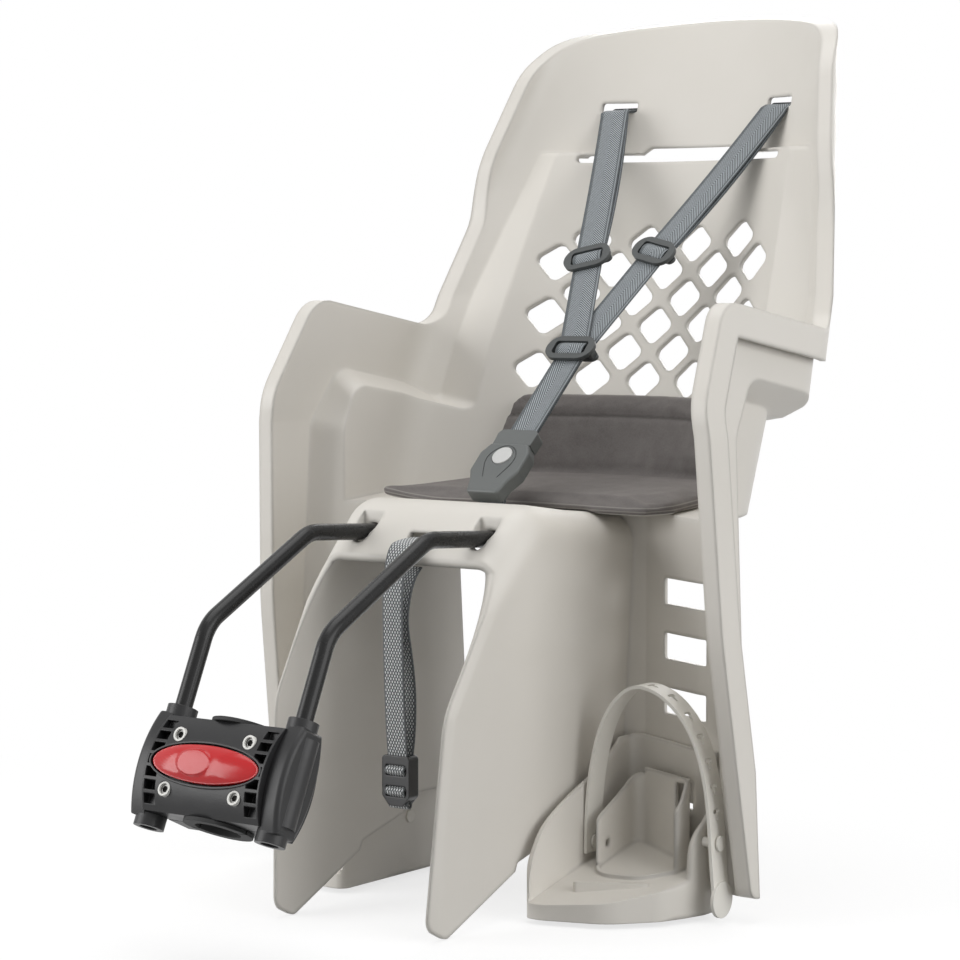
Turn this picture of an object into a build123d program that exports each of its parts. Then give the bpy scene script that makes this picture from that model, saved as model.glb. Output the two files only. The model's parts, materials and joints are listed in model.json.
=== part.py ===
"""Child bike seat: a moulded tub on a sprung carrier bar that plugs into a seat-tube clamp block.

The origin is the centre of the seat-tube bore. The rider's front is -Y, the seat's width runs along X
and +Z is up. Seat coordinates measure y from the rod sockets in the apron and z from the tips of the
leg guards. The planes side(), level() and front() carry them into the part's frame, and across(),
flank() and face() do the same for the leaning clamp block.
"""

import os
from math import atan, atan2, cos, degrees, hypot, radians, sin, sqrt, tan

from build123d import *

os.makedirs("parts", exist_ok=True)

# Place of the seat over the clamp
SEAT_Y = 216.0
SEAT_Z = -124.0

# Moulded tub: wall, rolled rim and the lean of the backrest
WALL = 4.0
LIP_WIDTH = 13.0
SKIRT_DEPTH = 24.0
BACK_LEAN = 21.0
HEAD_BACK_Y = 378.0
HEAD_BACK_Z = 593.0
TUB_LEVELS = (-40.0, 343.0, 440.0, 690.0)
TUB_HALF_WIDTHS = (207.0, 190.0, 177.0, 118.0)
TUB_BACK_RADII = (270.0, 270.0, 262.0, 150.0)
TUB_CORNER = 36.0

# Inner bucket that holds the child, stepped in from the tub
INNER_STEP = 12.0
INNER_HALF_WIDTH = 163.0
INNER_BACK_RADIUS = 205.0
INNER_CORNER = 45.0
LEDGE_Z = 556.0
PAN_Z = 284.0
PAN_FRONT_Y = 92.0
PAN_FRONT_ROUND = 14.0
PAN_FALL = 4.0

# Leg channels: depth of the rear wall at three stations across the seat
CHANNEL_STATIONS = (95.0, 160.0, 215.0)
CHANNEL_DEPTHS = (140.0, 108.0, 92.0)
STRIP_BOTTOM_Z = 17.0
STRIP_BOTTOM_Y = 88.0
WINDOW_COUNT = 5
WINDOW_PITCH = 40.0
WINDOW_HEIGHT = 19.0
WINDOW_TOP_Z = 226.5
WINDOW_X = 143.0
WINDOW_WIDTH = 50.0

# Nose between the legs, with the two leg guards that hang from it
NOSE_TOP_Z = 295.0
NOSE_BACK_Z = 286.0
NOSE_ROUND = 30.0
NOSE_SHOULDER = 22.0
APRON_EDGE_Y = -24.5
APRON_EDGE_Z = 249.0
GUARD_HALF_AT_TIP = 70.0
GUARD_FLARE = 0.053
GUARD_TIP = (-94.0, 9.0)
GUARD_KNEE = (-83.0, 155.0)
GUARD_BEVEL = 9.0
GUARD_BEVEL_DEPTH = 2.4

# Backrest openings
LATTICE_ROWS = 6
LATTICE_PITCH_X = 46.0
LATTICE_PITCH_V = 23.0
LATTICE_Z = 431.0
DIAMOND_SIDE = 25.0
DIAMOND_ROUND = 6.0
STRAP_SLOT_X = 76.0
STRAP_SLOT_Z = 593.0
STRAP_SLOT_HEIGHT = 8.0
STRAP_DROP = 2.3

# Carrier bar: one sprung steel rod bent into a fork
ROD_DIAMETER = 12.0
ROD_SPACING = 105.0
ROD_SOCKET_Z = 270.0
ROD_SOCKET_GAP = 0.8
SCOOP_Z = 279.0
SCOOP_RISE = 4.0
SCOOP_RADIUS = 9.5
SCOOP_BACK_Y = 4.0
SCOOP_WALL = 3.0
ROD_FIRST_BEND = (-180.0, 220.0)
ROD_SECOND_BEND = (-71.0, 274.5)
ROD_TAIL = (135.0, 262.0)
ROD_BEND = 32.0
ROD_REACH_BELOW = 40.0

# Bosses under the nose and the plate that holds the bar up in them
BOSS_Y = 71.0
BOSS_LENGTH = 60.0
BOSS_INNER_X = 22.0
BOSS_OUTER_X = 68.0
BOSS_BELOW_ROD = 5.5
PLATE_WIDTH = 134.0
PLATE_THICKNESS = 3.0
PLATE_BOLT_X = 32.0
PLATE_BOLT_RUN = 18.0
PLATE_BOLT_RADIUS = 3.0
PLATE_BOLT_LENGTH = 20.0

# Clamp block on the seat tube
BLOCK_LEAN = 25.0
TUBE_RADIUS = 15.9
PAD_THICKNESS = 3.2
PAD_FLANGE = 24.0
PAD_FLANGE_THICKNESS = 2.6
SPLIT_GAP = 1.5
BLOCK_HALF_HEIGHT = 33.0
BLOCK_HALF_WIDTH = 50.0
BLOCK_FRONT = 31.5
BLOCK_FRONT_EDGE = 21.0
BLOCK_REAR = 31.0
BLOCK_REAR_EDGE = 23.0
BLOCK_REAR_HALF_WIDTH = 45.0
ROD_DEPTH = -8.0
ROD_BORE_CLEARANCE = 0.3
COVER_WIDTH = 14.0
COVER_HALF_HEIGHT = 36.0
COVER_FRONT = 18.0
COVER_REAR = 2.0
RIDGE_OUT = 4.0
RIDGE_RADIUS = 10.5
COLLAR_RADIUS = 10.5
COLLAR_HEIGHT = 6.0
SEAM = 0.2
RIB_COUNT = 7
RIB_X = 43.5
RIB_WIDTH = 10.0
RIB_WALL = 2.2
RIB_FLOOR = 20.0
BOLT_X = 30.0
BOLT_W = 18.8
BOLT_RADIUS = 2.6
BUSHING_RADIUS = 5.0
BUSHING_BORE = 3.5
BUSHING_SEAT = 22.0
BUSHING_LENGTH = 7.3
NUT_SEAT = 22.0
NUT_RADIUS = 5.0
NUT_HEIGHT = 4.0
BUTTON_HALF_LENGTH = 45.2
BUTTON_HALF_HEIGHT = 12.9
BUTTON_GAP = 1.4
BUTTON_BORDER = 1.4
BUTTON_TRAVEL = 4.0
BUTTON_THICKNESS = 8.5
BUTTON_DOME = 6.0
DISC_X = -6.0
DISC_HALF_LENGTH = 14.0
DISC_HALF_HEIGHT = 9.3
STEM_X = 35.0
STEM_RADIUS = 4.0
STEM_CLEARANCE = 0.3
STEM_LENGTH = 9.0

# Seat pad
PAD_LIFT = 0.5
PAD_DEPTH = 11.0
PAD_FRONT_Y = 80.0
PAD_TOP_Z = 362.0
PAD_TOP_HALF = 104.0
PAD_BACK_HALF = 116.0
PAD_HALF = 130.0
PAD_CORNER = 98.0
PAD_SWEEP = 48.0

# Harness webbing, its sliders and the buckle
WEB_WIDTH = 25.0
WEB_THICKNESS = 1.6
LAYER_GAP = 0.4
SLOT_Y = 356.0
JOIN_Y = 183.0
JOIN_Z = 397.0
SLIDER_LEFT_RUN = 94.4
SLIDER_RIGHT_RUN = 102.3
SLIDER_WIDTH = 23.0
SLIDER_THICKNESS = 3.2
BUCKLE_Y = 71.0
BUCKLE_Z = 289.0
BUCKLE_TILT = 47.5
BUCKLE_LENGTH = 50.0
BUCKLE_THICKNESS = 12.0
TONGUE_LENGTH = 16.0
STRAP_INTO_TONGUE = 7.0
LOWER_START = 6.0
PUSH_UP = 37.0
PUSH_RADIUS = 8.2
PUSH_CLEARANCE = 0.4
PUSH_DEPTH = 3.5
PUSH_TRAVEL = 2.5
ENGRAVING = ((6.5, 15.0), (10.5, 25.0), (12.3, 36.0))
ENGRAVING_TOP = (0.0, 47.2)
CROTCH_Y = 77.0
CROTCH_LOW_Z = 275.0
CROTCH_TOP_Z = 300.0

# Safety strap that hangs from the apron
SAFETY_X = 0.0
SAFETY_WIDTH = 18.0
SAFETY_SLOT = 5.0
SAFETY_FRONT_Y = -37.0
SAFETY_GAP = 5.0
SAFETY_LOW_Z = 75.0
SAFETY_BUCKLE_Z = 98.0
SAFETY_BUCKLE_HEIGHT = 36.0
SAFETY_BUCKLE_RIM = 3.0

# Footrests
STEP_CLEARANCE = 0.4
STEP_WALL = 3.5
STEP_BOTTOM_Z = 3.0
STEP_TOP_Z = 120.0
STEP_INNER_X = 81.0
STEP_OUTER_X = 181.0
BED_FRONT_Z = 13.0
BED_SLOPE = 0.24
CUP_X = 97.0
CUP_FAR_X = 163.0
CUP_FRONT_Y = 56.0
CUP_WALL = 2.6
CUP_TOP_Z = 96.5
CUP_LIP = 2.4
LATCH_X = 152.0
LATCH_Z = 82.5

# Foot straps
STRAP_WIDTH = 20.0
STRAP_THICKNESS = 2.5
STRAP_Y = 83.0
STRAP_RISE = ((86.2, 38.0), (86.8, 66.0), (92.5, 110.0), (101.0, 136.0), (112.0, 152.5), (128.0, 162.5))
STRAP_FALL = (
    (141.0, 161.5), (154.0, 155.5), (166.0, 145.0), (176.5, 129.5), (184.5, 108.0), (192.0, 50.0),
    (195.5, 16.0),
)
STRAP_HOLES = 7
STRAP_HOLES_FROM = 0.47
STRAP_HOLES_TO = 0.81
TAB_Z = 16.0
TAB_RADIUS = 13.0
STUD_Z = 56.0
STUD_RADIUS = 3.5
RIVET_Z = 46.0
RIVET_RADIUS = 3.0

# Reach of the cutting solids past the seat
FAR = 700.0
FRONT_REACH = -160.0
HALF_SPAN = 260.0

LEAN = radians(BLOCK_LEAN)
BACK = radians(BACK_LEAN)
ROD_X = ROD_SPACING / 2
ROD_RADIUS = ROD_DIAMETER / 2
ROD_SLOPE = (ROD_TAIL[1] - ROD_SECOND_BEND[1]) / (ROD_TAIL[0] - ROD_SECOND_BEND[0])
PLATE_BOLTS = [(x, run) for x in (-PLATE_BOLT_X, PLATE_BOLT_X) for run in (-PLATE_BOLT_RUN, PLATE_BOLT_RUN)]
STRAP_TOP_Z = STRAP_SLOT_Z - STRAP_DROP
HARNESS_RUN = hypot(SLOT_Y - JOIN_Y, STRAP_TOP_Z - JOIN_Z)
HARNESS_TILT = degrees(atan2(SLOT_Y - JOIN_Y, STRAP_TOP_Z - JOIN_Z))
BAND_LENGTH = hypot(HARNESS_RUN, STRAP_SLOT_X)
BAND_ANGLE = degrees(atan2(STRAP_SLOT_X, HARNESS_RUN))


def side(x=0.0):
    """Plane across the seat at x, with sketch axes y and z in seat coordinates."""
    return Plane(origin=(x, SEAT_Y, SEAT_Z), x_dir=(0, 1, 0), z_dir=(1, 0, 0))


def level(z):
    """Horizontal plane at seat height z, with sketch axes x and y in seat coordinates."""
    return Plane(origin=(0, SEAT_Y, SEAT_Z + z), x_dir=(1, 0, 0), z_dir=(0, 0, 1))


def front(y):
    """Upright plane facing the rider at seat y, with sketch axes x and z."""
    return Plane(origin=(0, SEAT_Y + y, SEAT_Z), x_dir=(1, 0, 0), z_dir=(0, -1, 0))


def inclined(y, z, tilt):
    """Plane through a point of the symmetry plane, leaning back by tilt degrees, facing front."""
    slope = radians(tilt)
    return Plane(origin=(0, SEAT_Y + y, SEAT_Z + z), x_dir=(1, 0, 0), z_dir=(0, -cos(slope), sin(slope)))


def across(w):
    """Plane square to the seat tube at height w, with sketch axes x and depth."""
    return Plane(origin=(0, w * sin(LEAN), w * cos(LEAN)), x_dir=(1, 0, 0), z_dir=(0, sin(LEAN), cos(LEAN)))


def flank(x):
    """Plane along the side of the block at x, with sketch axes depth and height w."""
    return Plane(origin=(x, 0, 0), x_dir=(0, cos(LEAN), -sin(LEAN)), z_dir=(1, 0, 0))


def face(depth):
    """Plane facing the front of the block at a depth, with sketch axes x and height w."""
    return Plane(
        origin=(0, depth * cos(LEAN), -depth * sin(LEAN)), x_dir=(1, 0, 0), z_dir=(0, -cos(LEAN), sin(LEAN))
    )


def rod_z(y):
    """Height of the rods' centre line on its run under the nose."""
    return ROD_TAIL[1] + (y - ROD_TAIL[0]) * ROD_SLOPE


def along_rods(rise):
    """Plane along both rods under the nose, raised off their centre line; sketch axes x and run."""
    tilt = atan(ROD_SLOPE)
    up = (0, -sin(tilt), cos(tilt))
    return Plane(origin=(0, SEAT_Y + BOSS_Y, SEAT_Z + rod_z(BOSS_Y)), x_dir=(1, 0, 0), z_dir=up).offset(rise)


def square_to_rods(y):
    """Plane square to the rods under the nose, facing front; sketch axes x and rise."""
    tilt = atan(ROD_SLOPE)
    facing = (0, -cos(tilt), -sin(tilt))
    return Plane(origin=(0, SEAT_Y + y, SEAT_Z + rod_z(y)), x_dir=(1, 0, 0), z_dir=facing)


def back_y(z):
    """Depth of the head panel's centre line at height z."""
    return HEAD_BACK_Y + (z - HEAD_BACK_Z) * tan(BACK)


def outline(plane, points, radii):
    """Closed outline on a plane, with a radius at each corner."""
    with BuildSketch(plane) as sketch:
        with BuildLine():
            FilletPolyline(*points, radius=radii, close=True)
        make_face()
    return sketch.sketch


def bucket_section(z, half, back, radius, corner):
    """Plan section of a bucket at height z: straight sides, rounded corners and a hollow back."""
    sag = radius - sqrt(radius**2 - half**2)
    with BuildSketch(level(z)) as section:
        with BuildLine():
            Polyline((half, back - sag), (half, FRONT_REACH), (-half, FRONT_REACH), (-half, back - sag))
            ThreePointArc((-half, back - sag), (0, back), (half, back - sag))
        make_face()
        fillet(section.vertices().group_by(Axis.Y)[-1], corner)
    return section.sketch


def tub(grow):
    """Outer tub as a solid core, with every wall moved out by grow. Its back is upright under the arms."""
    backs = [back_y(max(z, TUB_LEVELS[1])) for z in TUB_LEVELS]
    sections = [
        bucket_section(z, half + grow, back + grow, radius + grow, TUB_CORNER + grow)
        for z, half, back, radius in zip(TUB_LEVELS, TUB_HALF_WIDTHS, backs, TUB_BACK_RADII)
    ]
    with BuildPart() as core:
        loft(sections, ruled=True)
    return core.part


def pan_profile(drop):
    """Side profile of what lies under the pan, lowered by drop, with a rolled front edge."""
    top = PAN_Z - drop
    heel = top - 118
    return outline(
        side(-HALF_SPAN),
        [(FRONT_REACH - 40, heel), (PAN_FRONT_Y - drop, heel), (PAN_FRONT_Y - drop, top - PAN_FALL),
         (200, top + PAN_FALL), (480, top - 2), (480, -150), (FRONT_REACH - 40, -150)],
        [0.0, 8.0, PAN_FRONT_ROUND + drop, 60.0, 0.0, 0.0, 0.0],
    )


def inner_bucket(grow):
    """Inner bucket as a solid core, grown by the wall or shrunk by the pad."""
    sections = [
        bucket_section(
            z,
            INNER_HALF_WIDTH + grow,
            back_y(z) - INNER_STEP + grow,
            INNER_BACK_RADIUS + grow,
            INNER_CORNER + grow,
        )
        for z in (110.0, LEDGE_Z + 2)
    ]
    with BuildPart() as core:
        loft(sections, ruled=True)
        extrude(pan_profile(grow), amount=2 * HALF_SPAN, mode=Mode.SUBTRACT)
    return core.part


def shoulder_section(x, depth, arm, sink):
    """Side outline of the filled-in part of the tub at x: leg channel, arm shelf and wing, sunk by sink.

    arm gives the front top of the channel, the front of the arm shelf and its lowest point at the back.
    """
    (front_z), (arm_y, arm_z), (valley_y, valley_z) = arm
    wing = sink / cos(BACK)
    return outline(
        side(x),
        [(depth + sink, -150), (depth + sink, front_z), (arm_y + sink, arm_z - sink),
         (valley_y, valley_z - sink), (250 + wing, 403), (320 + wing, LEDGE_Z - sink),
         (480, LEDGE_Z - sink - 4), (480, -150)],
        [0.0, 20.0, 20.0, 10.0, 12.0, 6.0, 0.0, 0.0],
    )


SHELF_INNER = (320.0, (152.0, 352.0), (226.0, 342.0))
SHELF_MID = (336.0, (120.0, 370.0), (230.0, 353.0))
SHELF_OUTER = (345.0, (132.0, 404.0), (238.0, 382.0))


def shoulder(sink):
    """What fills the tub behind the shoulder line, from which the inner bucket is hollowed."""
    inner_x, mid_x, outer_x = CHANNEL_STATIONS
    inner_y, mid_y, outer_y = CHANNEL_DEPTHS
    sections = [
        shoulder_section(0.0, inner_y, SHELF_INNER, sink),
        shoulder_section(inner_x, inner_y, SHELF_INNER, sink),
        shoulder_section(mid_x, mid_y, SHELF_MID, sink),
        shoulder_section(outer_x, outer_y, SHELF_OUTER, sink),
    ]
    with BuildPart() as core:
        loft(sections, ruled=True)
        mirror(about=Plane.YZ)
    return core.part


def nose(drop):
    """Space under the nose and between the leg guards, shrunk by drop."""
    slope = sqrt(2) * drop
    apron = NOSE_TOP_Z - slope
    low = -150.0
    profile = outline(
        side(-HALF_SPAN),
        [(-140, low), (-140, apron - 154), (14 + 0.4 * drop, apron + 0.4 * drop), (80, NOSE_BACK_Z - drop),
         (150, PAN_Z - 5 - drop), (150, low)],
        [0.0, 0.0, NOSE_ROUND, 40.0, 0.0, 0.0],
    )
    top = 310.0
    top_half = GUARD_HALF_AT_TIP + GUARD_FLARE * top - drop
    low_half = GUARD_HALF_AT_TIP + GUARD_FLARE * low - drop
    with BuildSketch(front(FRONT_REACH)) as taper:
        with BuildLine():
            Polyline((top_half, top), (-top_half, top), (-low_half, low), (low_half, low), close=True)
        make_face()
    with BuildPart() as core:
        extrude(profile, amount=2 * HALF_SPAN)
        extrude(taper.sketch, amount=-400, mode=Mode.INTERSECT)
        upper = core.edges().filter_by(lambda edge: edge.center().Z > SEAT_Z + 140)
        sides = upper.filter_by(lambda edge: abs(edge.center().X) > GUARD_HALF_AT_TIP / 2)
        fillet(sides, NOSE_SHOULDER - drop)
    return core.part


def nose_z(y):
    """Height of the nose's top between its front edge and the pan."""
    if y < 80:
        return NOSE_TOP_Z + (y - 14) / (80 - 14) * (NOSE_BACK_Z - NOSE_TOP_Z)
    return NOSE_BACK_Z + (y - 80) / (150 - 80) * (PAN_Z - 5 - NOSE_BACK_Z)


def rim_outline():
    """Side view of the rolled rim: outer leg strip, armrest, wing and head."""
    return outline(
        side(-HALF_SPAN),
        [(STRIP_BOTTOM_Y, STRIP_BOTTOM_Z), (60, 205), (51, 366), (92, 439), (246, 414), (283, 500),
         (287, 548), (320, 622), (356, 651), (420, 667), (FAR, 690), (FAR, STRIP_BOTTOM_Z)],
        [10.0, 300.0, 45.0, 26.0, 22.0, 60.0, 90.0, 60.0, 90.0, 0.0, 0.0, 0.0],
    )


def guard_outline():
    """Side view of a leg guard, from its tip up to the apron."""
    return outline(
        side(-(GUARD_HALF_AT_TIP + 24)),
        [(-74, -1), GUARD_TIP, GUARD_KNEE, (APRON_EDGE_Y, APRON_EDGE_Z), (APRON_EDGE_Y, 420), (180, 420),
         (180, 88), (58, 53), (8, 40), (6, 34)],
        [8.0, 12.0, 55.0, 0.0, 0.0, 0.0, 0.0, 0.0, 3.0, 2.0],
    )


def guard_bevel(low, high):
    """Wedge taken off a guard's outer front edge between two points of its outline."""
    start = side(GUARD_HALF_AT_TIP + GUARD_FLARE * low[1]).from_local_coords(low)
    rise = Vector(GUARD_FLARE * (high[1] - low[1]), high[0] - low[0], high[1] - low[1])
    across_face = rise.cross(Vector(1, 0, -GUARD_FLARE))
    with BuildPart() as wedge:
        with BuildSketch(Plane(origin=start, x_dir=across_face, z_dir=rise).offset(-6)):
            with BuildLine():
                deep = GUARD_BEVEL_DEPTH * (1 + 4 / GUARD_BEVEL)
                Polyline((-4, deep), (GUARD_BEVEL, 0), (GUARD_BEVEL, -3), (-4, -3), close=True)
            make_face()
        extrude(amount=rise.length + 12)
        mirror(about=Plane.YZ)
    return wedge.part


rim = rim_outline()
lip_inset = offset(rim, -WALL, kind=Kind.ARC, mode=Mode.PRIVATE)
skirt_inset = offset(rim, -SKIRT_DEPTH, kind=Kind.ARC, mode=Mode.PRIVATE)

# Space inside the seat, and the same space grown by the wall
with BuildPart() as cavity:
    add(tub(0))
    add(shoulder(0), mode=Mode.SUBTRACT)
    add(inner_bucket(0))
    add(nose(0), mode=Mode.SUBTRACT)

with BuildPart() as skin:
    add(tub(WALL))
    add(shoulder(WALL), mode=Mode.SUBTRACT)
    add(inner_bucket(WALL))
    add(nose(WALL), mode=Mode.SUBTRACT)
    add(cavity.part, mode=Mode.SUBTRACT)

# Hollow behind the rolled rim
with BuildPart() as rim_hollow:
    add(tub(LIP_WIDTH - WALL))
    extrude(lip_inset, amount=2 * HALF_SPAN, mode=Mode.INTERSECT)

# Rolled rim: a lip that faces front and a skirt that turns back behind it
with BuildPart() as rolled_rim:
    add(tub(LIP_WIDTH))
    extrude(skirt_inset, amount=2 * HALF_SPAN, mode=Mode.SUBTRACT)
    add(rim_hollow.part, mode=Mode.SUBTRACT)
    add(tub(WALL / 2), mode=Mode.SUBTRACT)
    with BuildSketch(side(-HALF_SPAN)):
        with BuildLine():
            behind = CHANNEL_DEPTHS[2] + WALL + 3
            Polyline((behind, -150), (behind, 340), (140, 380), (FAR, 380), (FAR, -150), close=True)
        make_face()
    extrude(amount=2 * HALF_SPAN, mode=Mode.SUBTRACT)
    extrude(rim, amount=2 * HALF_SPAN, mode=Mode.INTERSECT)

# Side view of the whole moulding
with BuildPart() as silhouette:
    extrude(rim, amount=2 * HALF_SPAN)
    extrude(guard_outline(), amount=2 * (GUARD_HALF_AT_TIP + 24))

# Housings behind the apron for the scoop over each rod
with BuildPart() as sockets:
    with BuildSketch(front(SCOOP_BACK_Y + SCOOP_WALL)):
        with Locations((ROD_X, SCOOP_Z), (-ROD_X, SCOOP_Z)):
            SlotCenterToCenter(SCOOP_RISE, 2 * (SCOOP_RADIUS + SCOOP_WALL), rotation=90)
    extrude(amount=60)
    add(nose(WALL / 2), mode=Mode.INTERSECT)

with BuildPart() as seat_shell:
    add(skin.part)
    add(silhouette.part, mode=Mode.INTERSECT)
    add(rolled_rim.part)
    # Lower edge of the channel's rear wall, rising to the guards
    with BuildSketch(front(70)):
        with BuildLine():
            Polyline((200, 10), (80, 66), (-80, 66), (-200, 10), (-200, -60), (200, -60), close=True)
        make_face()
    extrude(amount=-400, mode=Mode.SUBTRACT)
    # Ladder of windows for the footrest
    with BuildSketch(front(40)):
        for row in range(WINDOW_COUNT):
            sill = WINDOW_TOP_Z - row * WINDOW_PITCH
            with Locations((WINDOW_X, sill), (-WINDOW_X, sill)):
                RectangleRounded(WINDOW_WIDTH, WINDOW_HEIGHT, 1.5)
    extrude(amount=-170, mode=Mode.SUBTRACT)
    # Lattice of diamonds in the backrest
    with BuildSketch(inclined(back_y(LATTICE_Z) - INNER_STEP - 90, LATTICE_Z + 30, BACK_LEAN)):
        for row in range(LATTICE_ROWS):
            count = 4 + row % 2
            rise = ((LATTICE_ROWS - 1) / 2 - row) * LATTICE_PITCH_V
            for column in range(count):
                with Locations(((column - (count - 1) / 2) * LATTICE_PITCH_X, rise)):
                    RectangleRounded(DIAMOND_SIDE, DIAMOND_SIDE, DIAMOND_ROUND, rotation=45)
    extrude(amount=-220, mode=Mode.SUBTRACT)
    # Shoulder strap slots and the wide slot over the ledge
    with BuildSketch(front(300)):
        with Locations((STRAP_SLOT_X, STRAP_SLOT_Z), (-STRAP_SLOT_X, STRAP_SLOT_Z)):
            RectangleRounded(WEB_WIDTH + 3, STRAP_SLOT_HEIGHT, 2)
        with Locations((0, LEDGE_Z - 5.5)):
            RectangleRounded(190, 6, 2.9)
        with BuildLine():
            low = LEDGE_Z - 8.5
            high = LEDGE_Z + 3
            FilletPolyline((-58, low), (58, low), (44, high), (-44, high), radius=4, close=True)
        make_face()
    extrude(amount=-160, mode=Mode.SUBTRACT)
    # Bevel down the outer front edge of each leg guard
    add(guard_bevel(GUARD_TIP, GUARD_KNEE), mode=Mode.SUBTRACT)
    add(guard_bevel(GUARD_KNEE, (APRON_EDGE_Y, APRON_EDGE_Z)), mode=Mode.SUBTRACT)
    # Rod sockets, the scoop over each, and the slot of the safety strap between them
    add(sockets.part)
    with BuildSketch(front(SCOOP_BACK_Y)):
        with Locations((ROD_X, SCOOP_Z), (-ROD_X, SCOOP_Z)):
            SlotCenterToCenter(SCOOP_RISE, 2 * SCOOP_RADIUS, rotation=90)
    extrude(amount=60, mode=Mode.SUBTRACT)
    with BuildSketch(front(-60)):
        with Locations((ROD_X, ROD_SOCKET_Z), (-ROD_X, ROD_SOCKET_Z)):
            Circle(ROD_RADIUS + ROD_SOCKET_GAP)
    extrude(amount=-100, mode=Mode.SUBTRACT)
    with BuildSketch(front(-60)):
        with Locations((SAFETY_X, ROD_SOCKET_Z)):
            RectangleRounded(SAFETY_WIDTH + 3, SAFETY_SLOT, 1.5)
    extrude(amount=-72, mode=Mode.SUBTRACT)
    # Slot of the crotch strap
    with BuildSketch(level(PAN_Z - 40)):
        with Locations((0, CROTCH_Y)):
            RectangleRounded(WEB_WIDTH + 3, 5, 1.5)
    extrude(amount=60, mode=Mode.SUBTRACT)
    # Bosses that the rods lie in, under the nose
    for x in (BOSS_INNER_X, -BOSS_OUTER_X):
        with BuildSketch(side(x)):
            with BuildLine():
                ends = (BOSS_Y - BOSS_LENGTH / 2, BOSS_Y + BOSS_LENGTH / 2)
                feet = [(y, rod_z(y) - BOSS_BELOW_ROD) for y in ends]
                roof = [(y, nose_z(y) - WALL / 2) for y in (ends[1], 80, ends[0])]
                Polyline(*feet, *roof, close=True)
            make_face()
        extrude(amount=BOSS_OUTER_X - BOSS_INNER_X)
    with BuildSketch(square_to_rods(BOSS_Y - BOSS_LENGTH / 2 - 10)):
        with Locations((ROD_X, 0), (-ROD_X, 0)):
            Circle(ROD_RADIUS + 0.1)
        with Locations((ROD_X, -10), (-ROD_X, -10)):
            Rectangle(ROD_DIAMETER + 0.2, 20)
    extrude(amount=-BOSS_LENGTH - 20, mode=Mode.SUBTRACT)
    with BuildSketch(along_rods(-20)):
        with Locations(*PLATE_BOLTS):
            Circle(PLATE_BOLT_RADIUS + 0.05)
    extrude(amount=32, mode=Mode.SUBTRACT)


# Carrier bar: up through the block, over to the sockets in the apron and across under the pan
rod_foot = across(-ROD_REACH_BELOW).from_local_coords((ROD_X, ROD_DEPTH))
rod_corners = (ROD_FIRST_BEND, ROD_SECOND_BEND, ROD_TAIL)
rod_bends = [side(ROD_X).from_local_coords(corner) for corner in rod_corners]
rod_half = [rod_foot, *rod_bends]
rod_points = [(v.X, v.Y, v.Z) for v in rod_half] + [(-v.X, v.Y, v.Z) for v in reversed(rod_half)]

with BuildPart() as carrier_bar:
    with BuildLine() as bar_path:
        FilletPolyline(*rod_points, radius=ROD_BEND)
    with BuildSketch(across(-ROD_REACH_BELOW)):
        with Locations((ROD_X, ROD_DEPTH)):
            Circle(ROD_RADIUS)
    sweep(path=bar_path.wires()[0])

# Steel plate that holds the bar up against the bosses under the nose
with BuildPart() as carrier_plate:
    with BuildSketch(along_rods(-ROD_RADIUS - PLATE_THICKNESS - 0.05)):
        RectangleRounded(PLATE_WIDTH, BOSS_LENGTH - 4, 8)
        with Locations(*PLATE_BOLTS):
            Circle(PLATE_BOLT_RADIUS, mode=Mode.SUBTRACT)
    extrude(amount=PLATE_THICKNESS)

with BuildPart() as carrier_bolts:
    with BuildSketch(along_rods(-ROD_RADIUS - PLATE_THICKNESS - 0.05)):
        with Locations(*PLATE_BOLTS):
            RegularPolygon(5.8, 6)
    extrude(amount=-4)
    with BuildSketch(along_rods(-ROD_RADIUS - PLATE_THICKNESS - 0.05)):
        with Locations(*PLATE_BOLTS):
            Circle(PLATE_BOLT_RADIUS)
    extrude(amount=PLATE_BOLT_LENGTH)

# Clamp block: a barrel-fronted half and a rear half around the seat tube
pad_radius = TUBE_RADIUS + PAD_THICKNESS
bore_places = [(ROD_X, ROD_DEPTH), (-ROD_X, ROD_DEPTH)]
bolt_places = [(x, w) for x in (-BOLT_X, BOLT_X) for w in (-BOLT_W, BOLT_W)]
stem_places = [(-STEM_X, 0), (STEM_X, 0)]
pocket_floor = -(BLOCK_FRONT - BUTTON_THICKNESS)
rib_pitch = 2 * (BLOCK_HALF_HEIGHT - 3) / RIB_COUNT

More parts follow.
